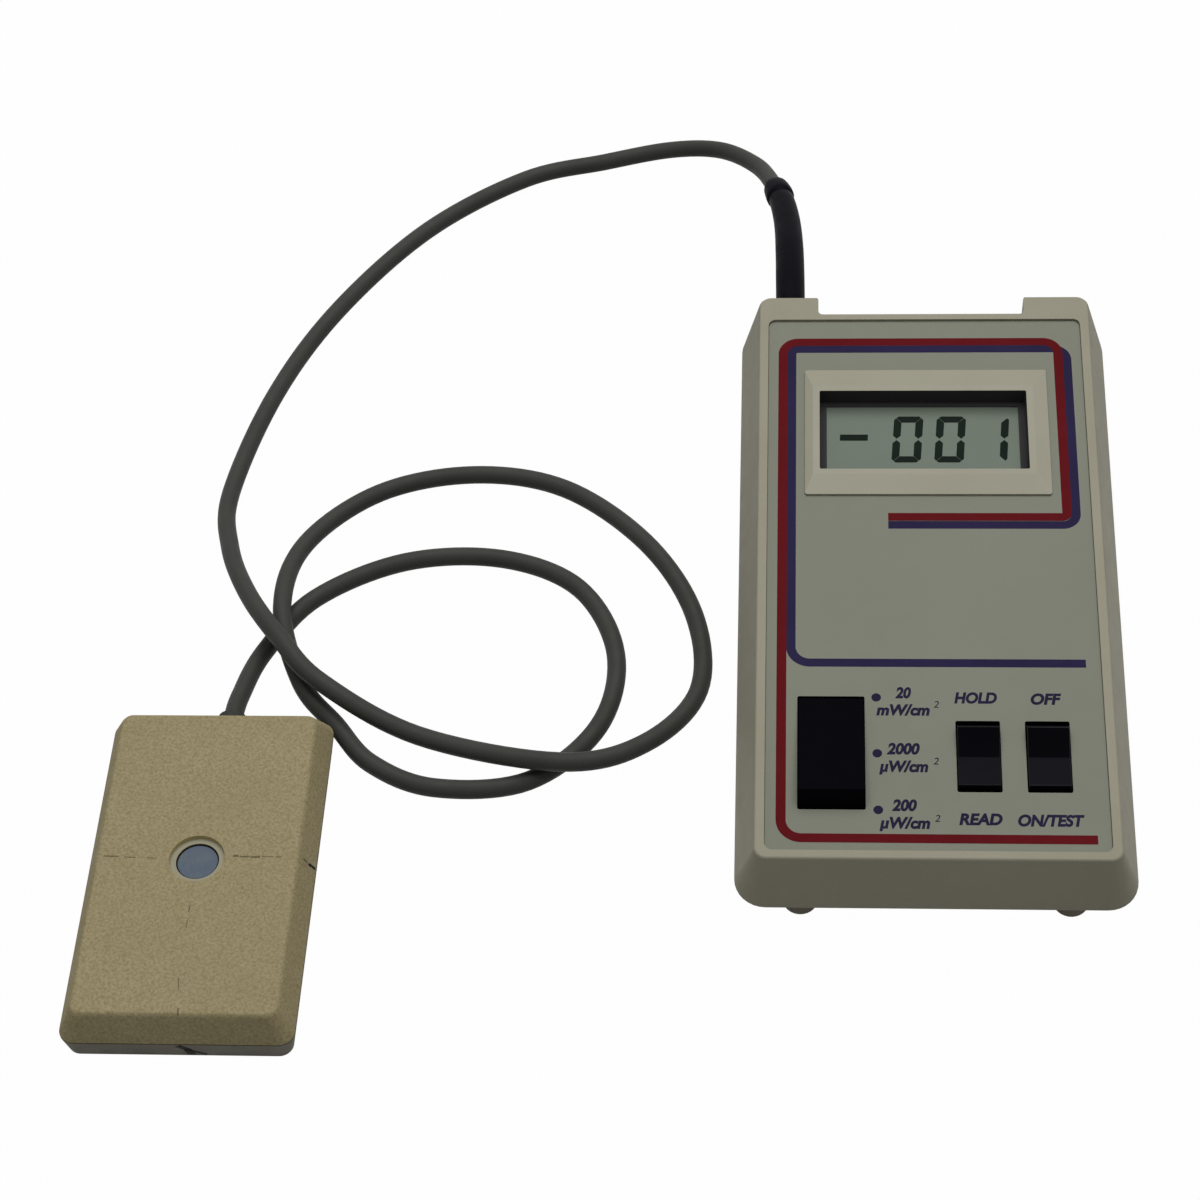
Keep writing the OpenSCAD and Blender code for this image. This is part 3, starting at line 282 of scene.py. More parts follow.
printRed = surface({
    "name": "printRed", "colour": (94, 19, 25), "patch": (89, 17, 22), "grainScale": 3000,
    "grainDepth": 0.004, "roughness": (0.5, 0.58), "specular": 0.02,
})
printBlue = surface({
    "name": "printBlue", "colour": (42, 37, 68), "patch": (38, 33, 62), "grainScale": 3000,
    "grainDepth": 0.004, "roughness": (0.5, 0.58), "specular": 0.02,
})
printNavy = surface({
    "name": "printNavy", "colour": (38, 35, 60), "patch": (34, 31, 54), "grainScale": 3000,
    "grainDepth": 0.004, "roughness": (0.5, 0.58), "specular": 0.02,
})
displayGrey = surface({
    "name": "displayGrey", "colour": (107, 117, 105), "patch": (103, 113, 101), "patchScale": 30,
    "grainScale": 900, "grainDepth": 0.001, "roughness": (0.28, 0.34), "specular": 0.1,
})
segmentInk = surface({
    "name": "segmentInk", "colour": (25, 33, 28), "patch": (29, 37, 32), "grainScale": 900,
    "grainDepth": 0.001, "roughness": (0.4, 0.48), "specular": 0.01,
})
markerInk = surface({
    "name": "markerInk", "colour": (10, 9, 7), "patch": (16, 14, 11), "patchScale": 500,
    "grainScale": 1500, "grainDepth": 0.004, "roughness": (0.55, 0.7), "specular": 0.08,
})
# painted shade for the gap between the sensor's cover and its base
seamShade = surface({
    "name": "seamShade", "colour": (100, 90, 72), "patch": (90, 80, 64), "patchScale": 200,
    "grainScale": 1500, "grainDepth": 0.004, "roughness": (0.7, 0.8), "specular": 0.05,
})
pencilLine = surface({
    "name": "pencilLine", "colour": (120, 109, 80), "patch": (92, 83, 60), "patchScale": 500,
    "grainScale": 1500, "grainDepth": 0.004, "roughness": (0.6, 0.75), "specular": 0.1,
})
boardGreen = surface({
    "name": "boardGreen", "colour": (28, 84, 52), "patch": (24, 74, 46), "grainScale": 700,
    "grainDepth": 0.01, "roughness": (0.35, 0.45), "specular": 0.5,
})
platedSteel = surface({
    "name": "platedSteel", "colour": (168, 168, 172), "patch": (150, 150, 155), "grainScale": 1200,
    "grainDepth": 0.004, "roughness": (0.25, 0.4), "metallic": 1.0,
})
platedBrass = surface({
    "name": "platedBrass", "colour": (205, 172, 92), "patch": (190, 156, 80), "grainScale": 1200,
    "grainDepth": 0.004, "roughness": (0.25, 0.35), "metallic": 1.0,
})
trimmerBlue = surface({
    "name": "trimmerBlue", "colour": (36, 74, 150), "patch": (32, 66, 138), "grainScale": 900,
    "grainDepth": 0.006, "roughness": (0.35, 0.45),
})
leadGrey = surface({
    "name": "leadGrey", "colour": (146, 146, 152), "patch": (134, 134, 140), "grainScale": 900,
    "grainDepth": 0.02, "roughness": (0.5, 0.6),
})
stripRubber = surface({
    "name": "stripRubber", "colour": (196, 150, 156), "patch": (186, 140, 146), "grainScale": 1500,
    "grainDepth": 0.01, "roughness": (0.6, 0.75),
})
batteryPaint = surface({
    "name": "batteryPaint", "colour": (54, 55, 60), "patch": (48, 49, 54), "grainScale": 700,
    "grainDepth": 0.006, "roughness": (0.3, 0.4),
})

# the filter: blue glass with a soft haze
filterSet = {
    "colour": (73, 86, 106), "haze": (84, 95, 104), "hazeScale": 240, "glossScale": 700, "glossDetail": 2,
    "roughness": (0.12, 0.2), "specular": 0.08,
}


def makeFilterGlass(settings):
    material, tree, shader = newMaterial("filterBlue")
    haze = addRange(tree, addNoise(tree, settings["hazeScale"]), 0, 1)
    colour = addMix(tree, haze, tone(*settings["colour"]), tone(*settings["haze"]))
    tree.links.new(colour, shader.inputs["Base Color"])
    gloss = addNoise(tree, settings["glossScale"], settings["glossDetail"])
    tree.links.new(addRange(tree, gloss, *settings["roughness"]), shader.inputs["Roughness"])
    shader.inputs["Specular IOR Level"].default_value = settings["specular"]
    return material


filterBlue = makeFilterGlass(filterSet)

# finishes of the solids that are shown as they are
nodeFinish = {
    "display_mask": windowMaskAndShade, "lcd_glass": displayGrey,
    "lcd_holder": blackPlasticAndShade, "contact_strips": stripRubber, "display_board": boardGreen,
    "meter_chip": blackPlasticAndShade, "trim_pots": trimmerBlue, "switch_board": boardGreen,
    "amplifier_chip": blackPlasticAndShade, "range_switch_housing": blackPlasticAndShade,
    "hold_switch_housing": blackPlasticAndShade, "power_switch_housing": blackPlasticAndShade,
    "switch_terminals": platedSteel, "ribbon_cable": leadGrey, "battery": batteryPaint,
    "battery_snap": blackPlasticAndShade, "sensor_socket": blackPlasticAndShade, "case_screws": platedSteel,
    "board_screws": platedSteel, "plug_barrel": platedSteel, "plug_pins": platedBrass,
    "filter_glass": filterBlue, "filter_ring": blackPlasticAndShade, "photodiode": platedSteel,
    "sensor_board": boardGreen, "sensor_screws": platedSteel, "cable_grommet": grommetRubber,
}
for nodeName, finish in nodeFinish.items():
    shape = cadNodes[nodeName].data
    shape.materials.clear()
    shape.materials.append(finish)
print("materials made,", len(bpy.data.materials))


def linkPiece(name, mesh, body):
    piece = bpy.data.objects.new(name, mesh)
    scene.collection.objects.link(piece)
    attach(piece, body)
    return piece


def labelPlaceOf(place):
    return labelFrame.inverted() @ place / mm


def sensorPlaceOf(place):
    return (place - sensorPoint(0, 0, 0)) / mm


# faces of a moulding that get another finish, painted shade or painted light, told by where their corners
# are
# the bezel's inner walls get the mask's black: partly the real black border, partly painted shade in the
# recess
windowSet = {"middle": (-0.7, 105.5), "half": (23.0, 10.85), "finish": windowMaskAndShade}
# painted sheen: up-facing faces in front of the rockers' axle get the lighter grey
frontPadSheenSet = {"axle": 22.5, "leastUp": 0.9, "finish": rockerPaintedSheen}
# the bore's ledge and wall; the wall gets painted light
boreSet = {"radius": 5.85, "floor": 10.2, "mostUp": 0.5, "finish": sensorBare, "wallPaintedLight": sensorWallPaintedLight}
# painted shade: faces inside the switch openings are painted black where the walls fall in shadow
switchHoles = {
    "range": {"middle": (-21.4, 23.2), "half": (7.06, 13.64)},
    "hold": {"middle": (8.9, 22.4), "half": (4.66, 8.58)},
    "power": {"middle": (23.2, 22.4), "half": (4.66, 8.58)},
}


def inLabelBox(corners, box):
    (u, v), (halfU, halfV) = box["middle"], box["half"]
    places = [labelPlaceOf(c) for c in corners]
    return all(abs(p.x - u) < halfU and abs(p.y - v) < halfV for p in places)


def inSwitchHole(corners, normal):
    return any(inLabelBox(corners, hole) for hole in switchHoles.values())


def inWindow(corners, normal):
    return inLabelBox(corners, windowSet)


def onFrontPadSheen(corners, normal):
    inFront = all(labelPlaceOf(c).y < frontPadSheenSet["axle"] for c in corners)
    return inFront and normal.z > frontPadSheenSet["leastUp"]


def inBore(corners, normal):
    places = [sensorPlaceOf(c) for c in corners]
    return all(math.hypot(p.x, p.y) < boreSet["radius"] and p.z > boreSet["floor"] for p in places)


def onBoreWall(corners, normal):
    return abs(normal.z) < boreSet["mostUp"] and inBore(corners, normal)


# a moulding: the solid again with its facets smoothed and its sharp edges eased
mouldSet = {
    "faces": [], "weld": 0.003, "flatAngle": 0.7, "smooth": 32, "ease": 0, "easeSteps": 3, "shadeWeight": 80,
}


def moulding(own):
    settings = {**mouldSet, **own}
    node = settings["node"]
    rules = settings["faces"]
    source = cadNodes[node]
    mesh = source.data.copy()
    if "custom_normal" in mesh.attributes:
        mesh.attributes.remove(mesh.attributes["custom_normal"])
    mesh.materials.clear()
    mesh.materials.append(settings["finish"])
    for rule, finish in rules:
        mesh.materials.append(finish)
    # a painted highlight on the eased edges, where a moulding has one
    if "easeHighlight" in settings:
        mesh.materials.append(settings["easeHighlight"])
    work = bmesh.new()
    work.from_mesh(mesh)
    bmesh.ops.remove_doubles(work, verts=work.verts, dist=settings["weld"] * mm)
    flat = math.radians(settings["flatAngle"])
    bmesh.ops.dissolve_limit(work, angle_limit=flat, verts=work.verts, edges=work.edges)
    for face in work.faces:
        face.smooth = True
        face.material_index = 0
        corners = [v.co for v in face.verts]
        for i, (rule, finish) in enumerate(rules):
            if rule(corners, face.normal):
                face.material_index = i + 1
    limit = math.radians(settings["smooth"])
    for edge in work.edges:
        edge.smooth = edge.is_manifold and edge.calc_face_angle(0) < limit
    work.to_mesh(mesh)
    work.free()
    piece = linkPiece(settings["name"], mesh, source["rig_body"])
    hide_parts(node)
    if settings["ease"]:
        bevel = piece.modifiers.new("easedEdges", "BEVEL")
        bevel.width = settings["ease"] * mm
        bevel.segments = settings["easeSteps"]
        bevel.limit_method = "ANGLE"
        bevel.angle_limit = limit
        bevel.harden_normals = False
        bevel.material = len(mesh.materials) - 1 if "easeHighlight" in settings else -1
    even = piece.modifiers.new("evenShade", "WEIGHTED_NORMAL")
    even.keep_sharp = True
    even.weight = settings["shadeWeight"]


mouldings = [
    # painted shade: black on the case's switch-opening walls
    {
        "node": "top_case", "name": "caseTop", "finish": casePlastic,
        "faces": [(inSwitchHole, blackPlasticAndShade)],
    },
    # painted shade: black on the label's switch-opening walls
    {
        "node": "label_panel", "name": "labelFace", "finish": labelFilm,
        "faces": [(inSwitchHole, blackPlasticAndShade)],
    },
    {"node": "base_case", "name": "caseBase", "finish": casePlastic},
    {"node": "battery_door", "name": "batteryDoor", "finish": casePlastic, "ease": 0.2},
    {
        "node": "display_bezel", "name": "displayBezel", "finish": bezelPlastic, "ease": 0.15, "smooth": 5,
        "faces": [(inWindow, windowSet["finish"])],
    },
    {"node": "range_rocker", "name": "rangeRocker", "finish": rockerBlack, "ease": 0.45},
    # hold and power rockers: painted sheen on their front pads, painted highlight on their eased edges
    {
        "node": "hold_rocker", "name": "holdRocker", "finish": rockerBlack, "ease": 0.3,
        "easeHighlight": rockerEdgeHighlight, "faces": [(onFrontPadSheen, frontPadSheenSet["finish"])],
    },
    {
        "node": "power_rocker", "name": "powerRocker", "finish": rockerBlack, "ease": 0.3,
        "easeHighlight": rockerEdgeHighlight, "faces": [(onFrontPadSheen, frontPadSheenSet["finish"])],
    },
    {"node": "rubber_feet", "name": "rubberFeet", "finish": footRubber, "ease": 0.6},
    {
        "node": "sensor_cover", "name": "sensorCover", "finish": sensorTan,
        "faces": [(inBore, boreSet["finish"]), (onBoreWall, boreSet["wallPaintedLight"])],
    },
    {"node": "sensor_base", "name": "sensorBase", "finish": sensorGrey},
]
for settings in mouldings:
    moulding(settings)
print("mouldings made,", len(mouldings))

# cable and boot along the route that their solids follow
bootRoute = [
    (-30.2, 138.12, 27), (-30.2, 149, 27), (-30.3, 160, 26.6), (-30.5, 171, 25.2), (-31, 182, 22.8),
    (-32.2, 193, 19.8),
]
cableRoute = [
    (-34.3, 203, 16.6), (-38.9, 215.3, 12.6), (-48.2, 225.6, 8.8), (-61, 230, 5.2),
    (-78.1, 228.2, 2.8), (-98.2, 222.3, 2.3), (-121.7, 203.3, 2.3), (-141.4, 174.8, 2.3),
    (-153.8, 145.4, 2.3), (-160.5, 113, 2.6), (-158, 93.8, 5.4), (-151.3, 76.4, 9.2),
    (-142.2, 62, 10.8), (-132.3, 51.2, 9), (-110, 39, 5.6), (-79, 30.9, 7.2),
    (-61.2, 38, 4.6), (-49.9, 54.6, 2.3), (-51.5, 76.5, 2.3), (-63.1, 98, 2.3),
    (-82.4, 114.6, 2.3), (-104, 119, 2.3), (-125.6, 113.1, 2.4), (-140.8, 95.4, 4.4),
    (-143.5, 74, 7), (-137.3, 54.3, 4.6), (-128.8, 44.2, 2.6), (-120.3, 34, 2.3),
    (-106, 27.5, 2.3), (-85.8, 29.5, 2.3), (-71.4, 44.4, 2.3), (-68.5, 64.9, 2.3),
    (-77.6, 84, 2.3), (-95.5, 92.8, 2.3), (-117.7, 91.8, 2.3), (-137.2, 80.8, 2.3),
    (-147, 64.8, 2.5), (-150.4, 51.6, 3.9), (-151, 43.8, 5.2), (-151, 36.4, 5.2),
]
route = [meterPoint(*p) for p in bootRoute + cableRoute]


def routeAt(s):  # a smooth curve through the points, s counts them
    i = min(int(s), len(route) - 2)
    t = s - i
    a, b, c, d = (route[min(max(i + k, 0), len(route) - 1)] for k in (-1, 0, 1, 2))
    square = 2 * a - 5 * b + 4 * c - d
    cube = 3 * b - a - 3 * c + d
    return 0.5 * (2 * b + (c - a) * t + square * t * t + cube * t**3)


cableSet = {"diameter": 4.2, "stepsPerPoint": 10, "round": 7}


def layCable(settings):
    start, last = len(bootRoute), len(route) - 1
    count = (last - start) * settings["stepsPerPoint"]
    points = [routeAt(start + k * (last - start) / count) for k in range(count + 1)]
    curve = bpy.data.curves.new("sensorCable", "CURVE")
    curve.dimensions = "3D"
    curve.bevel_depth = settings["diameter"] / 2 * mm
    curve.bevel_resolution = settings["round"]
    curve.use_fill_caps = True
    line = curve.splines.new("POLY")
    line.points.add(len(points) - 1)
    for knot, place in zip(line.points, points):
        knot.co = (*place, 1)
    line.use_smooth = True
    curve.materials.append(cableRubber)
    cable = bpy.data.objects.new("sensorCable", curve)
    scene.collection.objects.link(cable)
    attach(cable, "probe")
    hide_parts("cable")
    length = sum((b - a).length for a, b in zip(points, points[1:]))
    return cable, points, length


cable, cablePoints, cableLength = layCable(cableSet)

# the boot: a sleeve at the lug, a long body, a groove and a rounded collar
bootSet = {
    "sides": 32, "ringStep": 0.12, "lookAhead": 0.02,
    "rings": [
        (0.0, 3.22), (0.05, 3.34), (0.96, 3.34), (1.0, 3.26), (1.03, 3.26), (1.06, 3.36), (2.0, 3.38),
        (3.0, 3.34), (4.0, 3.22), (5.0, 3.08), (5.18, 3.04), (5.22, 2.84), (5.26, 2.84), (5.3, 3.2),
        (5.36, 3.4), (5.5, 3.4), (5.72, 3.26), (5.86, 3.08), (5.94, 2.8), (5.985, 2.44), (6.0, 2.12),
    ],
}


def sweepBoot(settings):
    work = bmesh.new()
    sides, near = settings["sides"], settings["lookAhead"]
    rings = []
    stations = []
    for (s0, r0), (s1, r1) in zip(settings["rings"], settings["rings"][1:]):
        parts = max(1, round((s1 - s0) / settings["ringStep"]))
        stations += [(s0 + (s1 - s0) * k / parts, r0 + (r1 - r0) * k / parts) for k in range(parts)]
    stations.append(settings["rings"][-1])
    for s, radius in stations:
        ahead = (routeAt(min(s + near, len(route) - 1)) - routeAt(max(s - near, 0))).normalized()
        aside = ahead.cross(Vector((0, 0, 1))).normalized()
        above = aside.cross(ahead)
        centre = routeAt(s)
        rings.append([
            work.verts.new(centre + radius * mm * (math.cos(a) * aside + math.sin(a) * above))
            for a in (2 * math.pi * k / sides for k in range(sides))
        ])
    for lower, upper in zip(rings, rings[1:]):
        for k in range(sides):
            work.faces.new((lower[k], lower[(k + 1) % sides], upper[(k + 1) % sides], upper[k]))
    work.faces.new(list(reversed(rings[0])))
    work.faces.new(rings[-1])
    bmesh.ops.recalc_face_normals(work, faces=work.faces)
    for face in work.faces:
        face.smooth = True
    mesh = bpy.data.meshes.new("cableBoot")
    work.to_mesh(mesh)
    work.free()
    mesh.materials.append(bootRubber)
    boot = linkPiece("cableBoot", mesh, "probe")
    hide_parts("cable_boot")
    return boot


boot = sweepBoot(bootSet)
print("cable laid, length", round(cableLength, 4))


def flatMesh(name, corners, faces, finish):
    mesh = bpy.data.meshes.new(name)
    mesh.from_pydata([tuple(c) for c in corners], [], faces)
    mesh.materials.append(finish)
    mesh.update()
    return mesh


# a printed line on the label: square ends, rounded turns
def roundedPath(turns, steps):
    path = []
    for i, (u, v, radius) in enumerate(turns):
        here = Vector((u, v))
        if i in (0, len(turns) - 1) or radius == 0:
            path.append(here)
            continue
        back = (Vector(turns[i - 1][:2]) - here).normalized()
        on = (Vector(turns[i + 1][:2]) - here).normalized()
        centre = here + (back + on) * radius
        for k in range(steps + 1):
            a = math.pi / 2 * k / steps
            path.append(centre - on * radius * math.cos(a) - back * radius * math.sin(a))
    return path


def printLine(settings):
    path = roundedPath(settings["turns"], settings["turnSteps"])
    half, lift = settings["width"] / 2, settings["lift"]
    corners = []
    for i, here in enumerate(path):
        before = (here - path[i - 1]).normalized() if i else None
        after = (path[i + 1] - here).normalized() if i < len(path) - 1 else None
        along = ((before or after) + (after or before)).normalized()
        side = Vector((-along.y, along.x)) * half
        corners += [labelPoint(*(here + side), lift), labelPoint(*(here - side), lift)]
    faces = [(2 * i, 2 * i + 1, 2 * i + 3, 2 * i + 2) for i in range(len(path) - 1)]
    mesh = flatMesh(settings["name"], corners, faces, settings["finish"])
    linkPiece(settings["name"], mesh, "meter")


printedLines = [
    {
        "name": "stripeRed", "finish": printRed, "width": 2.05, "lift": 0.035, "turnSteps": 10,
        "turns": [
            (-8.8, 82.65, 0), (29.8, 82.65, 1.1), (29.8, 131.0, 3.2), (-31.75, 131.0, 3.4),
            (-31.75, 2.98, 4.2), (32.2, 2.98, 0),
        ],
    },
    {
        "name": "stripeBlue", "finish": printBlue, "width": 2.0, "lift": 0.02, "turnSteps": 10,
        "turns": [
            (-8.8, 80.55, 0), (31.72, 80.55, 2.9), (31.72, 128.95, 3.0), (-29.8, 128.95, 1.4),
            (-29.8, 45.1, 4.0), (31.9, 45.1, 0),
        ],
    },
]
for settings in printedLines:
    printLine(settings)

# round marks beside the range switch
rangeDots = {
    "places": [(-11.97, 36.54), (-11.92, 23.0), (-11.88, 9.6)], "radius": 1.0, "lift": 0.03, "sides": 32,
}


def printDots(settings):
    corners, faces = [], []
    radius, sides = settings["radius"], settings["sides"]
    for u, v in settings["places"]:
        first = len(corners)
        for k in range(sides):
            a = 2 * math.pi * k / sides
            corners.append(labelPoint(u + radius * math.cos(a), v + radius * math.sin(a), settings["lift"]))
        faces.append(tuple(range(first, first + sides)))
    mesh = flatMesh("rangeDots", corners, faces, printNavy)
    linkPiece("rangeDots", mesh, "meter")


printDots(rangeDots)

# captions: each is fitted to the width and the cap height that it has on the label
captionSet = {
    "capHeight": 2.75, "slant": 0.2, "weight": 0.045, "lift": 0.03, "curveSteps": 6,
    "words": [
        ("20", -6.35, 36.5, 3.3), ("mW/cm", -6.45, 32.3, 11.1), ("2000", -6.55, 22.9, 6.8),
        ("µW/cm", -6.55, 18.7, 10.1), ("200", -6.55, 9.5, 5.1), ("µW/cm", -6.55, 5.4, 10.3),
        ("HOLD", 8.65, 35.3, 8.9), ("OFF", 23.2, 35.1, 6.35), ("READ", 8.85, 6.35, 8.8),
        ("ON/TEST", 23.05, 6.15, 13.45),
    ],
    "squares": [(0.45, 34.1), (0.1, 20.4), (0.1, 6.9)], "squareHeight": 1.6, "squareWeight": 0.0,
}


def letterMesh(text, weight, settings):
    letters = bpy.data.curves.new("letters", "FONT")
    letters.body = text
    letters.size = 1.0
    letters.shear = settings["slant"]
    letters.offset = weight
    letters.resolution_u = settings["curveSteps"]
    holder = bpy.data.objects.new("letters", letters)
    scene.collection.objects.link(holder)
    bpy.context.view_layer.update()
    mesh = bpy.data.meshes.new_from_object(holder.evaluated_get(bpy.context.evaluated_depsgraph_get()))
    bpy.data.objects.remove(holder)
    bpy.data.curves.remove(letters)
    return mesh


def capOf(weight, settings):
    mesh = letterMesh("H", weight, settings)
    heights = [v.co.y for v in mesh.vertices]
    bpy.data.meshes.remove(mesh)
    return max(heights) - min(heights)


def printCaptions(settings):
    large = (settings["capHeight"], settings["weight"])
    small = (settings["squareHeight"], settings["squareWeight"])
    words = [(*word, *large) for word in settings["words"]]
    words += [("2", u, v, None, *small) for u, v in settings["squares"]]
    for i, (text, u, v, width, height, weight) in enumerate(words):
        tall = height / capOf(weight, settings)
        mesh = letterMesh(text, weight, settings)
        left, right = min(p.co.x for p in mesh.vertices), max(p.co.x for p in mesh.vertices)
        wide = width / (right - left) if width else tall
        for p in mesh.vertices:
            p.co = labelPoint(u + (p.co.x - (left + right) / 2) * wide, v + p.co.y * tall, settings["lift"])
        mesh.materials.clear()
        mesh.materials.append(printNavy)
        linkPiece("caption%02d" % i, mesh, "meter")


printCaptions(captionSet)
print("label printed")

# liquid crystal figures: mitred bars, pointed where two meet in line, leaning a little
figureSet = {
    "level": -3.27, "middle": 106.05, "height": 12.7, "width": 6.5, "bar": 1.7, "chamfer": 0.9, "lean": 0.07,
    "cornerGap": 0.05, "midGap": 0.17,
    "figures": [("minus", -16.0), ("zero", -4.1), ("zero", 5.35), ("one", 14.9)],
    "bars": {"minus": "g", "zero": "abcdef", "one": "bc"},
    "minus": {"half": 3.1, "raise": 0.5},
}


def figureBars(settings):
    h, w, t, c = settings["height"] / 2, settings["width"] / 2, settings["bar"], settings["chamfer"]
    gap, midGap = settings["cornerGap"], settings["midGap"]
    half, high = settings["minus"]["half"], settings["minus"]["raise"]
    top = [(w - t, h - t), (w - c / 2, h - c / 2), (w - c, h)]
    across = [(x - gap, y) for x, y in top] + [(gap - x, y) for x, y in reversed(top)]
    side = [(w - t, h - t), (w - c / 2, h - c / 2), (w, h - c)]
    upright = [(x, y - gap) for x, y in side]
    upright += [(w, t / 2 + midGap), (w - t / 2, midGap), (w - t, t / 2 + midGap)]
    return {
        "a": across, "d": [(x, -y) for x, y in across], "b": upright, "c": [(x, -y) for x, y in upright],
        "e": [(-x, -y) for x, y in upright], "f": [(-x, y) for x, y in upright],
        "g": [(-half, high - t / 2), (half, high - t / 2), (half, high + t / 2), (-half, high + t / 2)],
    }


def drawFigures(settings):
    shapes = figureBars(settings)
    corners, faces = [], []
    for figure, centre in settings["figures"]:
        for bar in settings["bars"][figure]:
            first = len(corners)
            for x, y in shapes[bar]:
                u, v = centre + x + y * settings["lean"], settings["middle"] + y
                corners.append(labelPoint(u, v, settings["level"]))
            faces.append(tuple(range(first, len(corners))))
    mesh = flatMesh("displayFigures", corners, faces, segmentInk)
    linkPiece("displayFigures", mesh, "meter")


drawFigures(figureSet)
print("figures drawn")


def surfaceOf(node):
    solid = cadNodes[node].data
    return BVHTree.FromPolygons([v.co for v in solid.vertices], [p.vertices for p in solid.polygons])


def laidOn(under, place, lift):
    nearest, normal = under.find_nearest(place)[:2]
    return nearest + normal * lift * mm


# pencil and ink marks on the sensor, laid on its surface
markSet = {
    "lift": 0.04, "steps": 6,
    "pencil": {
        "node": "sensor_cover", "finish": pencilLine,
        "strokes": [
            (0.34, (-19.6, 0.4, 12), (-16.4, 0.3, 12)), (0.22, (-15.2, 0.2, 12), (-12.8, 0.1, 12)),
            (0.2, (-10.4, 0.05, 12), (-8.4, -0.1, 12)), (0.5, (7.5, 0.7, 12), (8.6, 0.75, 12)),
            (0.34, (9.0, 0.5, 12), (11.0, 0.55, 12)), (0.5, (11.2, 0.45, 12), (13.2, 0.5, 12)),
            (0.22, (13.6, 0.6, 12), (16.0, 0.6, 12)), (0.3, (16.4, 0.5, 12), (17.6, 0.6, 12)),
            (0.3, (0.2, -11.8, 12), (0.1, -13.4, 12)), (0.18, (0.1, -15.4, 12), (0.2, -17.4, 12)),
            (0.2, (0.2, -29.4, 12), (0.6, -32.2, 12)), (0.4, (1.1, -36.6, 12), (1.2, -37.9, 11.6)),
            (0.45, (21.9, 1.5, 10.1), (22.5, 1.65, 8.6)),
        ],
    },
    "ink": {
        "node": "sensor_cover", "finish": markerInk,
        "strokes": [(0.62, (22.8, 1.72, 7.7), (23.6, 1.9, 5.7)), (0.5, (23.0, 1.5, 7.3), (22.5, 1.5, 8.2))],
    },
    "baseInk": {
        "node": "sensor_base", "finish": markerInk,
        "strokes": [
            (1.4, (0.4, -40.9, 5.0), (2.5, -40.5, 2.8)), (1.7, (2.1, -40.6, 3.4), (2.7, -40.1, 0.4)),
            (0.9, (2.4, -40.5, 2.7), (5.7, -40.1, 0.7)),
        ],
    },
}


def drawMarks(settings):
    steps = settings["steps"]
    for kind in ("pencil", "ink", "baseInk"):
        group = settings[kind]
        under = surfaceOf(group["node"])
        corners, faces = [], []
        for width, start, end in group["strokes"]:
            start, end = sensorPoint(*start), sensorPoint(*end)
            out = under.find_nearest((start + end) / 2)[1]
            side = out.cross(end - start).normalized() * width / 2 * mm
            first = len(corners)
            for k in range(steps + 1):
                middle = start.lerp(end, k / steps)
                edges = (middle - side, middle + side)
                corners += [laidOn(under, place, settings["lift"]) for place in edges]
            lefts = range(first, first + 2 * steps, 2)
            faces += [(left, left + 2, left + 3, left + 1) for left in lefts]
        mesh = flatMesh(kind + "Marks", corners, faces, group["finish"])
        linkPiece(kind + "Marks", mesh, "probe")


# painted shade: a dark band along the parting gap between the sensor's cover and its base
seamSet = {"half": (24.3, 41.3), "corner": 3.6, "levels": (5.24, 5.62), "lift": 0.03, "perCorner": 10}


def drawSeam(settings):
    under = surfaceOf("sensor_cover")
    (halfX, halfY), r = settings["half"], settings["corner"]
    around = []
    for turn, (x, y) in enumerate(((halfX, halfY), (-halfX, halfY), (-halfX, -halfY), (halfX, -halfY))):
        centre = Vector((x - math.copysign(r, x), y - math.copysign(r, y)))
        for k in range(settings["perCorner"] + 1):
            a = math.pi / 2 * (turn + k / settings["perCorner"])
            around.append(centre + r * Vector((math.cos(a), math.sin(a))))
    corners = []
    for place in around:
        for level in settings["levels"]:
            corners.append(laidOn(under, sensorPoint(place.x, place.y, level), settings["lift"]))
    count = len(around)
    faces = [(2 * k, 2 * ((k + 1) % count), 2 * ((k + 1) % count) + 1, 2 * k + 1) for k in range(count)]
    mesh = flatMesh("sensorSeam", corners, faces, seamShade)
    linkPiece("sensorSeam", mesh, "probe")


# painted shade: a dark ring round the sensor's window, where the gap between the glass and the bore is in
# shadow
shadowRingSet = {"inner": 4.2, "outer": 4.49, "bottom": 10.58, "top": 10.72, "sides": 64}


def turnShadowRing(settings):
    inner, outer, bottom, top = (settings[k] for k in ("inner", "outer", "bottom", "top"))
    profile = [(outer, bottom), (outer, top), (inner, top), (inner, bottom)]
    sides, count = settings["sides"], len(profile)
    corners, faces = [], []
    for k in range(sides):
        a = 2 * math.pi * k / sides
        corners += [sensorPoint(r * math.cos(a), r * math.sin(a), z) for r, z in profile]
        here, there = k * count, (k + 1) % sides * count
        for i in range(count):
            j = (i + 1) % count
            faces.append((here + i, there + i, there + j, here + j))
    mesh = flatMesh("windowShadowRing", corners, faces, blackPlasticAndShade)
    linkPiece("windowShadowRing", mesh, "probe")


drawMarks(markSet)
drawSeam(seamSet)
turnShadowRing(shadowRingSet)
print("sensor marked")

# studio: pale floor and sky, a broad lamp above and a little behind, in metres
floorSet = {"size": 6.0, "drop": 0.0004, "shade": 0.34, "roughness": 0.9, "white": 0.985}
skySet = {"white": 1.0, "light": 0.24}
lampSet = {"place": (0.1, 0.5, 1.55), "target": (0, 0.03, 0), "size": 1.5, "power": 25.0}
plainWhite = (1, 1, 1, 1)


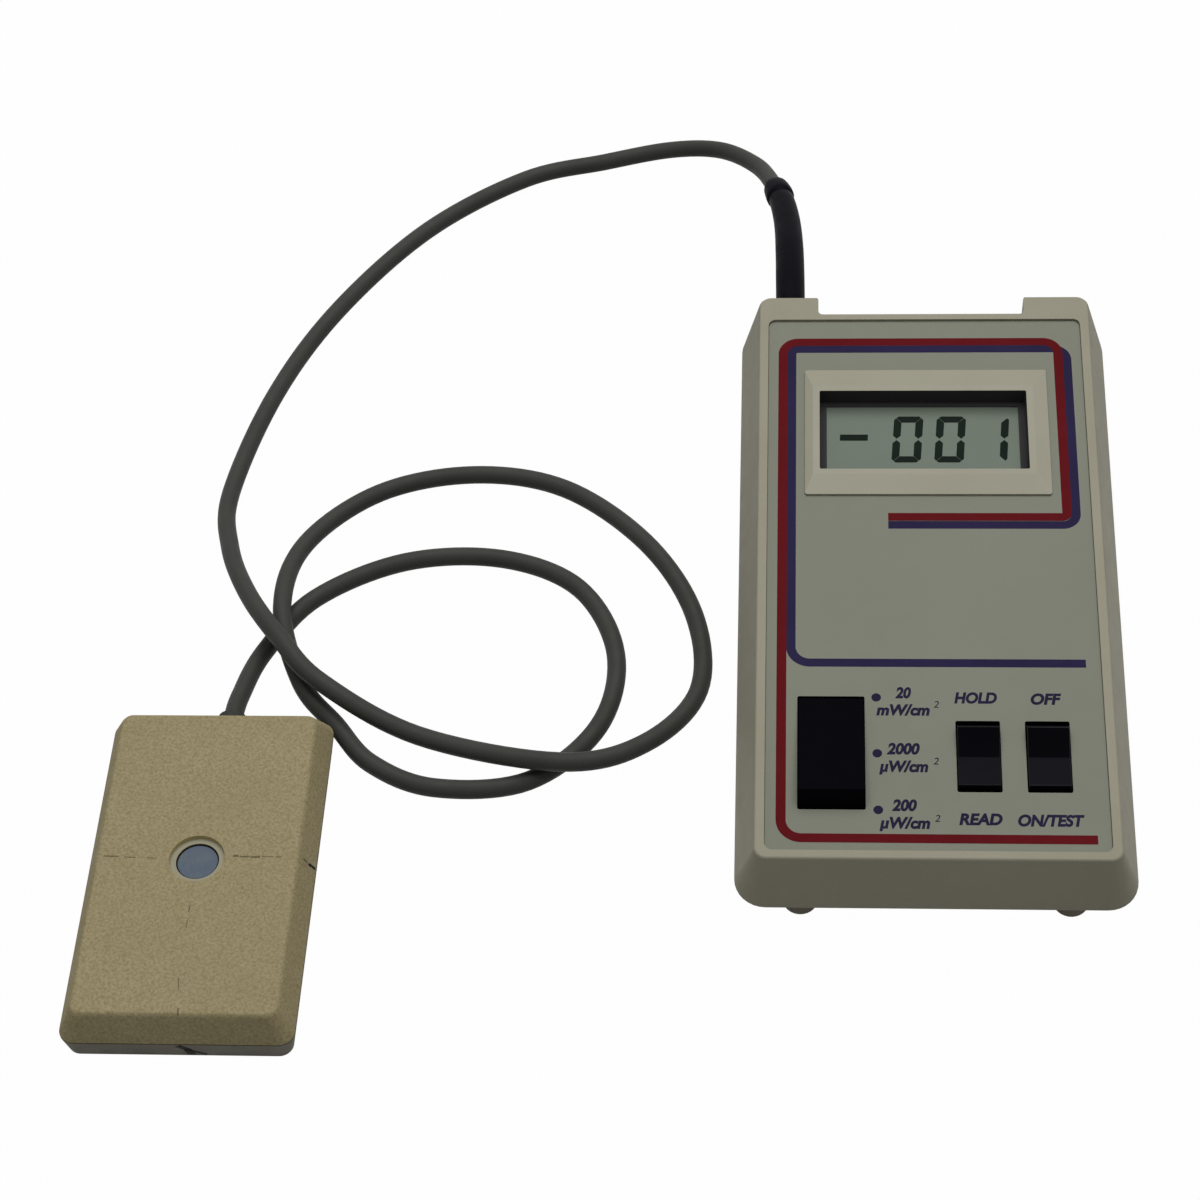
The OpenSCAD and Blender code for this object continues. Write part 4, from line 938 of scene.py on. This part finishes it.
def seenDirectly(tree):  # 1 where the camera, a mirror or glass looks straight at it
    path = tree.nodes.new("ShaderNodeLightPath")
    first = tree.nodes.new("ShaderNodeMath")
    first.operation = "MAXIMUM"
    tree.links.new(path.outputs["Is Camera Ray"], first.inputs[0])
    tree.links.new(path.outputs["Is Glossy Ray"], first.inputs[1])
    both = tree.nodes.new("ShaderNodeMath")
    both.operation = "MAXIMUM"
    tree.links.new(first.outputs[0], both.inputs[0])
    tree.links.new(path.outputs["Is Transmission Ray"], both.inputs[1])
    return both.outputs[0]


def layFloor(settings):
    half = settings["size"] / 2
    corners = [(-half, -half, 0), (half, -half, 0), (half, half, 0), (-half, half, 0)]
    material, tree, shader = newMaterial("floorPale")
    shade = settings["shade"]
    shader.inputs["Base Color"].default_value = (shade, shade, shade, 1)
    shader.inputs["Roughness"].default_value = settings["roughness"]
    glow = tree.nodes.new("ShaderNodeEmission")
    glow.inputs["Color"].default_value = plainWhite
    amount = tree.nodes.new("ShaderNodeMath")
    amount.operation = "MULTIPLY"
    amount.inputs[1].default_value = settings["white"]
    blend = tree.nodes.new("ShaderNodeMixShader")
    tree.links.new(seenDirectly(tree), amount.inputs[0])
    tree.links.new(amount.outputs[0], blend.inputs[0])
    tree.links.new(shader.outputs[0], blend.inputs[1])
    tree.links.new(glow.outputs[0], blend.inputs[2])
    tree.links.new(blend.outputs[0], tree.nodes["Material Output"].inputs["Surface"])
    floor = bpy.data.objects.new("floor", flatMesh("floor", corners, [(0, 1, 2, 3)], material))
    floor.location.z = -settings["drop"]
    scene.collection.objects.link(floor)


def addGlow(tree, strength):
    glow = tree.nodes.new("ShaderNodeBackground")
    glow.inputs["Color"].default_value = plainWhite
    glow.inputs["Strength"].default_value = strength
    return glow.outputs[0]


def openSky(settings):
    world = bpy.data.worlds.new("paleRoom")
    scene.world = world
    world.use_nodes = True
    tree = world.node_tree
    tree.nodes.clear()
    out = tree.nodes.new("ShaderNodeOutputWorld")
    mix = tree.nodes.new("ShaderNodeMixShader")
    tree.links.new(seenDirectly(tree), mix.inputs[0])
    tree.links.new(addGlow(tree, settings["light"]), mix.inputs[1])
    tree.links.new(addGlow(tree, settings["white"]), mix.inputs[2])
    tree.links.new(mix.outputs[0], out.inputs["Surface"])


def hangLamp(settings):
    data = bpy.data.lights.new("keyLamp", "AREA")
    data.shape = "SQUARE"
    data.size = settings["size"]
    data.energy = settings["power"]
    lamp = bpy.data.objects.new("keyLamp", data)
    lamp.location = settings["place"]
    lamp.rotation_euler = (Vector(settings["target"]) - lamp.location).to_track_quat("-Z", "Y").to_euler()
    scene.collection.objects.link(lamp)


layFloor(floorSet)
openSky(skySet)
hangLamp(lampSet)
print("studio lit")

bpy.context.view_layer.update()
